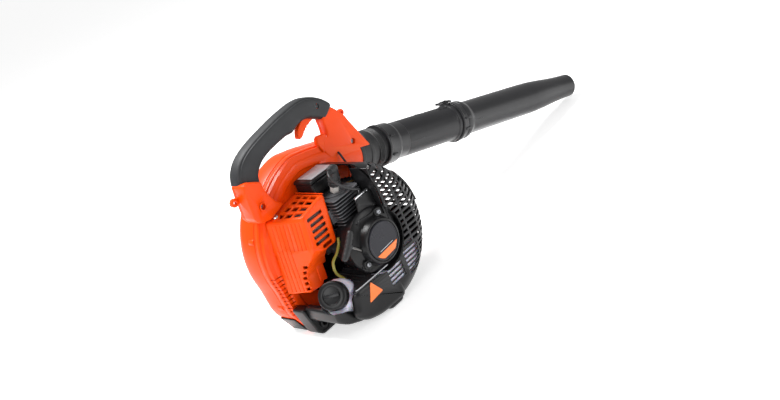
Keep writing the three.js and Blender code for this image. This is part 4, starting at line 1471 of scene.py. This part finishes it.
@dataclass
class Engine:
    """The small two-stroke engine with its ignition and intake."""

    cylinder_y: float = 75.0
    fin_pitch: float = 6.0
    lean: tuple[float, float] = (-0.42, 0.908)

    def plug(self, d: float) -> Vector:
        """A point on the spark plug's axis."""
        return Vector((0, self.cylinder_y + self.lean[0] * d, 90 + self.lean[1] * d))

    def build(self, bench: Bench) -> None:
        """Makes the engine's visible pieces and dresses the rest.

        Args:
            bench: Where pieces are made.
        """
        self._cylinder(bench)
        self._ignition(bench)
        self._intake(bench)
        self._shrouds(bench)
        bench.dress(["flywheel", "piston", "carburettor"], Finishes.CAST)
        bench.dress(["crankcase"], Finishes.DARK_CAST)
        bench.dress(["bearing_right", "bearing_left", "crankshaft", "connecting_rod", "impeller_nut",
            "trigger_pin", "starter_post", "recoil_spring"], Finishes.STEEL)
        bench.dress(["muffler"], Finishes.HEATED)
        bench.dress(["impeller", "intake_spacer", "choke_lever", "starter_pulley", "ignition_coil"],
            Finishes.BLACK)
        bench.dress(["spark_plug"], Finishes.CERAMIC)
        bench.dress(["throttle_lever"], Finishes.BRASS)
        bench.dress(["air_filter"], Finishes.FOAM)

    def _cylinder(self, bench: Bench) -> None:
        """Makes the finned cylinder.

        Args:
            bench: Where pieces are made.
        """
        y = self.cylinder_y
        barrel = rod((0, y, 36.3), (0, y, 96), 23.5, 48)
        fins = []
        for k in range(9):
            z = 44.5 + self.fin_pitch * k
            reach = 29 if z < 58 else 33
            outline = rounded([(-reach, y - 31), (reach, y - 31), (reach, y + 31), (-reach, y + 31)], 9, 5)
            fins.append(loft([[Vector((a, b, zz)) for a, b in outline] for zz in (z, z + 1.7)]))
        ports = [box((-37, 0), (y - 11, y + 11), (52, 78)), box((0, 37), (y - 11, y + 11), (52, 78))]
        tools = [rod((0, y, 30), (0, y, 84), 17.4, 48), rod((0, y, 80), (0, y, 100), 5.3, 32),
            rod((-40, y, 65), (40, y, 65), 7, 32), rod(self.plug(6.5), self.plug(30), 9, 32)]
        body = barrel.join(*fins, *ports).cut(*tools)
        bench.piece("finned_cylinder", body, Finishes.DARK_CAST, stands_for=["cylinder"],
            edge=0.2)

    def _shrouds(self, bench: Bench) -> None:
        """Makes the black plates round the engine and the coil's bright core.

        Args:
            bench: Where pieces are made.
        """
        hot_side = prism([(-150, -45), (-150, 120), (-30, 120), (-30, 20), (-58, 6), (-78, -45)],
            (120, 140))
        plate = disc(99, (131.6, 135.4), (0, 0), 128).cut(disc(28, (120, 140)), hot_side)
        rings = [turned([(r, 130.2), (r + 1.6, 130.2), (r + 1.6, 132), (r, 132)], Axis((0, 0, 0),
            (0, 1, 0)), 128).cut(hot_side) for r in (60, 84)]
        bench.piece("engine_back_plate", plate.join(*rings), Finishes.BLACK, edge=0.3)
        panel = prism(rounded([(-8, 47), (37.4, 47), (37.4, 77), (20, 79), (-2, 77)], 4, 5), (26.6, 29.2),
            (1, 0), 4)
        bosses = [disc(3.0, (25.6, 29), at, 24) for at in ((0, 70), (31, 54))]
        bench.piece("cooling_air_panel", panel.join(*bosses), Finishes.BLACK, edge=0.3)
        ring = turned([(50, 30), (52.6, 30), (52.6, 66), (50, 66)], Axis((0, 0, 0), (0, 1, 0)), 96)
        bench.piece("flywheel_shroud", ring, Finishes.BLACK, edge=0.4)
        core = box((1, 36), (30.4, 36), (77.6, 81.6))
        rivets = [rod((x, 29.8, 79.6), (x, 31, 79.6), 1.3, 16) for x in (5, 32)]
        bench.piece("coil_core", core.add(*rivets), Finishes.STEEL, edge=0.3)

    def _ignition(self, bench: Bench) -> None:
        """Makes the plug boot and its lead.

        Args:
            bench: Where pieces are made.
        """
        path = [self.plug(22), self.plug(34), self.plug(46), self.plug(55), Vector((-6, 50.5, 141)),
            Vector((-13, 46.6, 142.4))]
        boot = hose(path, (9.6, 9.2, 8.4, 8.2, 8.6, 7.6, 5.0), 36, 8).cut(rod(self.plug(10),
            self.plug(40), 4.9, 24))
        collars = [turned([(8.4, -1.3), (10.6, -1.3), (11, 0), (10.6, 1.3), (8.4, 1.3)],
            Axis(tuple(self.plug(d)), tuple(self.plug(1) - self.plug(0))), 36) for d in (24, 29, 34)]
        bench.piece("plug_boot", boot.add(*collars), Finishes.RUBBER, stands_for=["plug_cap"],
            edge=0)
        route = [(-12.5, 46.7, 141.2), (-18.9, 43.5, 143.2), (-27, 33, 138), (-22, 24, 122),
            (-4, 22, 104), (12, 26, 94), (17, 33, 86), (17, 36, 78)]
        bench.piece("spark_lead", hose(route, (2.5, 2.5), 16, 10), Finishes.RUBBER,
            stands_for=["ignition_lead"], edge=0)

    def _intake(self, bench: Bench) -> None:
        """Makes the air box, its lid and plate, the hose and the primer.

        Args:
            bench: Where pieces are made.
        """
        outline = [(-30, 101), (36.5, 101), (36.5, 124), (-30, 124)]
        case = prism(rounded(outline, 3, 5), (88, 133), (3, 3), 5).cut(box((-27.5, 34), (90.5, 130.5),
            (103.5, 130)), rod((24, 118, 95), (24, 118, 110), 8, 32))
        bench.piece("air_box", case, Finishes.BLACK, stands_for=["air_filter_case"],
            edge=0.4)
        lid = prism(rounded([(-31, 124.3), (37.4, 124.3), (37.4, 128), (33.4, 131), (-27, 131),
            (-31, 128)], 2.4, 5), (86, 134), (2.5, 2.5), 5)
        bench.piece("air_box_lid", lid, Finishes.BLACK, body="filter_lid",
            stands_for=["air_filter_lid"], edge=0.4)
        plate = rounded([(-22, 91), (29, 91), (29, 129), (-22, 129)], 3, 5)
        label = loft([[Vector((a, b, z)) for a, b in plate] for z in (131.2, 132.1)])
        bench.piece("plain_plate", label, Finishes.SILVER, body="filter_lid",
            stands_for=["rating_plate"], edge=0.15)
        route = [(24, 118, 103.2), (26, 118, 94), (42, 116, 84), (66, 110, 76), (86, 95, 68),
            (85, 80, 65), (74.6, self.cylinder_y, 65)]
        path = smooth_path(route, 12)
        radii = [8.7 + 0.7 * math.cos(k * 1.9) for k in range(len(path))]
        bench.piece("intake_bellows", hose(route, radii, 28, 12), Finishes.RUBBER,
            stands_for=["intake_hose"], edge=0)
        y = self.cylinder_y - 14
        bulb = turned([(4, -0.3), (8, -0.3), (8, -2), (7.4, -4.2), (6, -6.6), (4, -8.6), (1.8, -9.7),
            (0, -10), (0, -8.4), (4, -6)], Axis((57, y, 62), (0, 1, 0)), 40)
        bench.piece("priming_bulb", bulb, Finishes.RED, body="primer",
            stands_for=["primer_bulb"], edge=0)


@dataclass
class FuelSystem:
    """The fuel tank, its cap and the two lines."""

    neck: tuple[float, float, float] = (-0.70, -0.45, 0.55)
    base: tuple[float, float, float] = (-84, 62, -64)
    outline: tuple = ((-130, -82), (-112, -96), (-84, -108), (-50, -117), (40, -117), (72, -98),
        (86, -76), (62, -54), (-76, -54), (-104, -70))

    def axis(self) -> Axis:
        """The line through the filler neck."""
        return Axis(self.base, self.neck)

    def build(self, bench: Bench) -> None:
        """Makes the tank, the cap and the lines.

        Args:
            bench: Where pieces are made.
        """
        axis = self.axis()
        body = prism(rounded(list(self.outline), 12, 6), (34, 106), (9, 9), 7)
        neck = turned([(0, -14), (29, -14), (31, -4), (31.4, 6), (30.6, 14), (28, 20), (24, 23.4),
            (20.5, 24.6), (19, 25), (19, 27), (20, 28), (20, 37), (19, 38), (0, 38)], axis, 96)
        front = EngineCover().dome(4.6).keep(box((-16, 84), (0, 44), (-102, -51.6))).cut(disc(60, (0, 46),
            (0, 0), 72))
        tank = body.join(neck, front).cut(rod(axis.at(20), axis.at(42), 16, 48))
        bench.piece("moulded_tank", tank, Finishes.TANK, stands_for=["fuel_tank"], edge=0.6)
        self._cap(bench, axis)
        bench.piece("supply_line", hose([(52, 40, -52.6), (60, 38, -30), (64, 42, 0), (62, 52, 30),
            (58, 60, 46)], (2.5, 2.5), 16, 8), Finishes.FUEL_HOSE, stands_for=["fuel_line"],
            edge=0)
        route = [(-66, 58, -51.6), (-66, 58, -40), (-78, 57, -20), (-76, 56, 0), (-62, 55, 10),
            (-50, 55, 22), (-46, 55, 32)]
        bench.piece("breather_line", hose(route, (2.5, 2.5), 16, 8), Finishes.FUEL_HOSE,
            stands_for=["tank_vent"], edge=0)

    def _cap(self, bench: Bench, axis: Axis) -> None:
        """Makes the ribbed filler cap.

        Args:
            bench: Where pieces are made.
            axis: The filler's middle line.
        """
        profile = [(20.6, 28.2), (24.6, 28.2), (25.4, 29), (25.4, 46), (24.2, 48.4), (21, 49.6),
            (16, 49.8), (15, 48.2), (0, 48.2), (0, 38.6), (20.6, 38.6)]
        cap = turned(profile, axis, 96)
        ribs = []
        along, across, up = axis.sides()
        for k in range(30):
            turn = 2 * math.pi * k / 30
            ribs.append(rod(axis.at(30, 24.8, turn), axis.at(45.5, 24.8, turn), 1.1, 8))
        bar = loft([[axis.at(d) + across * (a * 14) + up * (b * 3.2) for a, b in ((-1, -1), (1, -1),
            (1, 1), (-1, 1))] for d in (47.5, 50)])
        plug = rod(axis.at(32), axis.at(39), 15, 48)
        bench.piece("filler_cap", cap.add(*ribs, bar, plug), Finishes.BLACK,
            body="fuel_cap", stands_for=["fuel_cap"], edge=0.4)


@dataclass
class BaseBracket:
    """The black bracket that carries the engine cover at the rear."""

    near_y: float = 107.0
    far_y: float = 135.7

    def build(self, bench: Bench) -> None:
        """Makes the bracket.

        Args:
            bench: Where pieces are made.
        """
        y = (self.near_y, self.far_y)
        block = prism(rounded([(-141, -62), (-122, -62), (-86, -112), (-84, -125), (-118, -125),
            (-128, -116)], 5, 6), y, (3.5, 0.5), 6)
        hollow = prism([(-134, -72), (-126, -72), (-98, -112), (-104, -119), (-118, -119), (-126, -110)],
            (y[0] - 2, y[0] + 2.4))
        block = block.cut(hollow, disc(5, (60, 200), (-108, -106), 40))
        ring = turned([(5, 0), (8.4, 0), (8.4, 3), (7.6, 3.6), (5.6, 3.6), (5, 3)],
            Axis((-108, y[0] + 3.0, -106), (0, -1, 0)), 48)
        bench.piece("rear_bracket", block.add(ring), Finishes.BLACK,
            stands_for=["base_bracket"], edge=0.5)


# ---------------------------------------------------------------- studio
@dataclass
class Studio:
    """The floor, the lights and the camera."""

    eye: Point = (-1058.45, -1349.55, 748.42)
    right: Point = (0.62430797, -0.69494175, -0.35678498)
    up: Point = (0.51395956, 0.02145429, 0.85754608)
    back: Point = (-0.58829, -0.71874591, 0.37056604)
    lens: float = 50.77
    sensor: float = 36.0

    def camera(self) -> None:
        """Sets up the camera."""
        data = bpy.data.cameras.new("camera")
        data.lens, data.sensor_width, data.clip_end = self.lens, self.sensor, 50.0
        thing = bpy.data.objects.new("camera", data)
        columns = [Vector(self.right), Vector(self.up), Vector(self.back)]
        turn = Matrix(columns).transposed().to_4x4()
        thing.matrix_world = Matrix.Translation((Vector(self.eye) + SHIFT) * MM) @ turn
        bpy.context.scene.collection.objects.link(thing)
        bpy.context.scene.camera = thing

    def lamp(self, name: str, spot: Point, target: Point, size: float, power: float) -> None:
        """Adds a soft lamp.

        Args:
            name: The lamp's name.
            spot: Where it stands, in metres.
            target: What it looks at.
            size: Its width in metres.
            power: Its power in watts.
        """
        data = bpy.data.lights.new(name, "AREA")
        data.shape, data.size, data.energy = "DISK", size, power
        thing = bpy.data.objects.new(name, data)
        way = Vector(target) - Vector(spot)
        thing.location = spot
        thing.rotation_euler = way.to_track_quat("-Z", "Y").to_euler()
        bpy.context.scene.collection.objects.link(thing)

    def floor(self) -> None:
        """Lays the plain pale floor."""
        data = bpy.data.meshes.new("floor")
        size = 30.0
        data.from_pydata([(-size, -size, -0.0006), (size, -size, -0.0006), (size, size, -0.0006),
            (-size, size, -0.0006)], [], [(0, 1, 2, 3)])
        pale = Finish("pale_floor", (0.86, 0.86, 0.86), 0.8, grain=60, depth=0.02, variation=0.01,
            wear=0.0, glow=0.55)
        data.materials.append(pale.material())
        thing = bpy.data.objects.new("floor", data)
        bpy.context.scene.collection.objects.link(thing)

    def build(self) -> None:
        """Sets up the whole studio."""
        world = bpy.data.worlds.new("studio")
        world.use_nodes = True
        world.node_tree.nodes["Background"].inputs["Color"].default_value = (1, 1, 1, 1)
        world.node_tree.nodes["Background"].inputs["Strength"].default_value = 0.45
        bpy.context.scene.world = world
        bpy.context.scene.view_settings.view_transform = "Standard"
        self.camera()
        self.floor()
        aim = (-0.2, 0, 0.18)
        self.lamp("key", (-0.5, 0.9, 2.1), aim, 1.1, 74)
        self.lamp("side", (-2.3, -0.7, 1.2), aim, 1.0, 15)
        self.lamp("front", (0.7, -2.1, 1.0), aim, 1.2, 15)


def main() -> None:
    """Builds the machine and the studio, and reports each piece."""
    logging.basicConfig(level=logging.INFO, format="%(name)s %(message)s")
    bench = Bench()
    housing, tube = FanHousing(), AirTube()
    Studio().build()
    housing.build(bench, tube)
    tube.build(bench)
    Handle().build(bench, housing, tube)
    MufflerCover().build(bench)
    Engine().build(bench)
    Starter().build(bench)
    FuelSystem().build(bench)
    EngineCover().build(bench)
    BaseBracket().build(bench)
    for name in bench.made:
        thing = bpy.data.objects[name]
        LOG.info("%s: %d faces", name, len(thing.data.polygons))


if __name__ == "__main__":
    main()
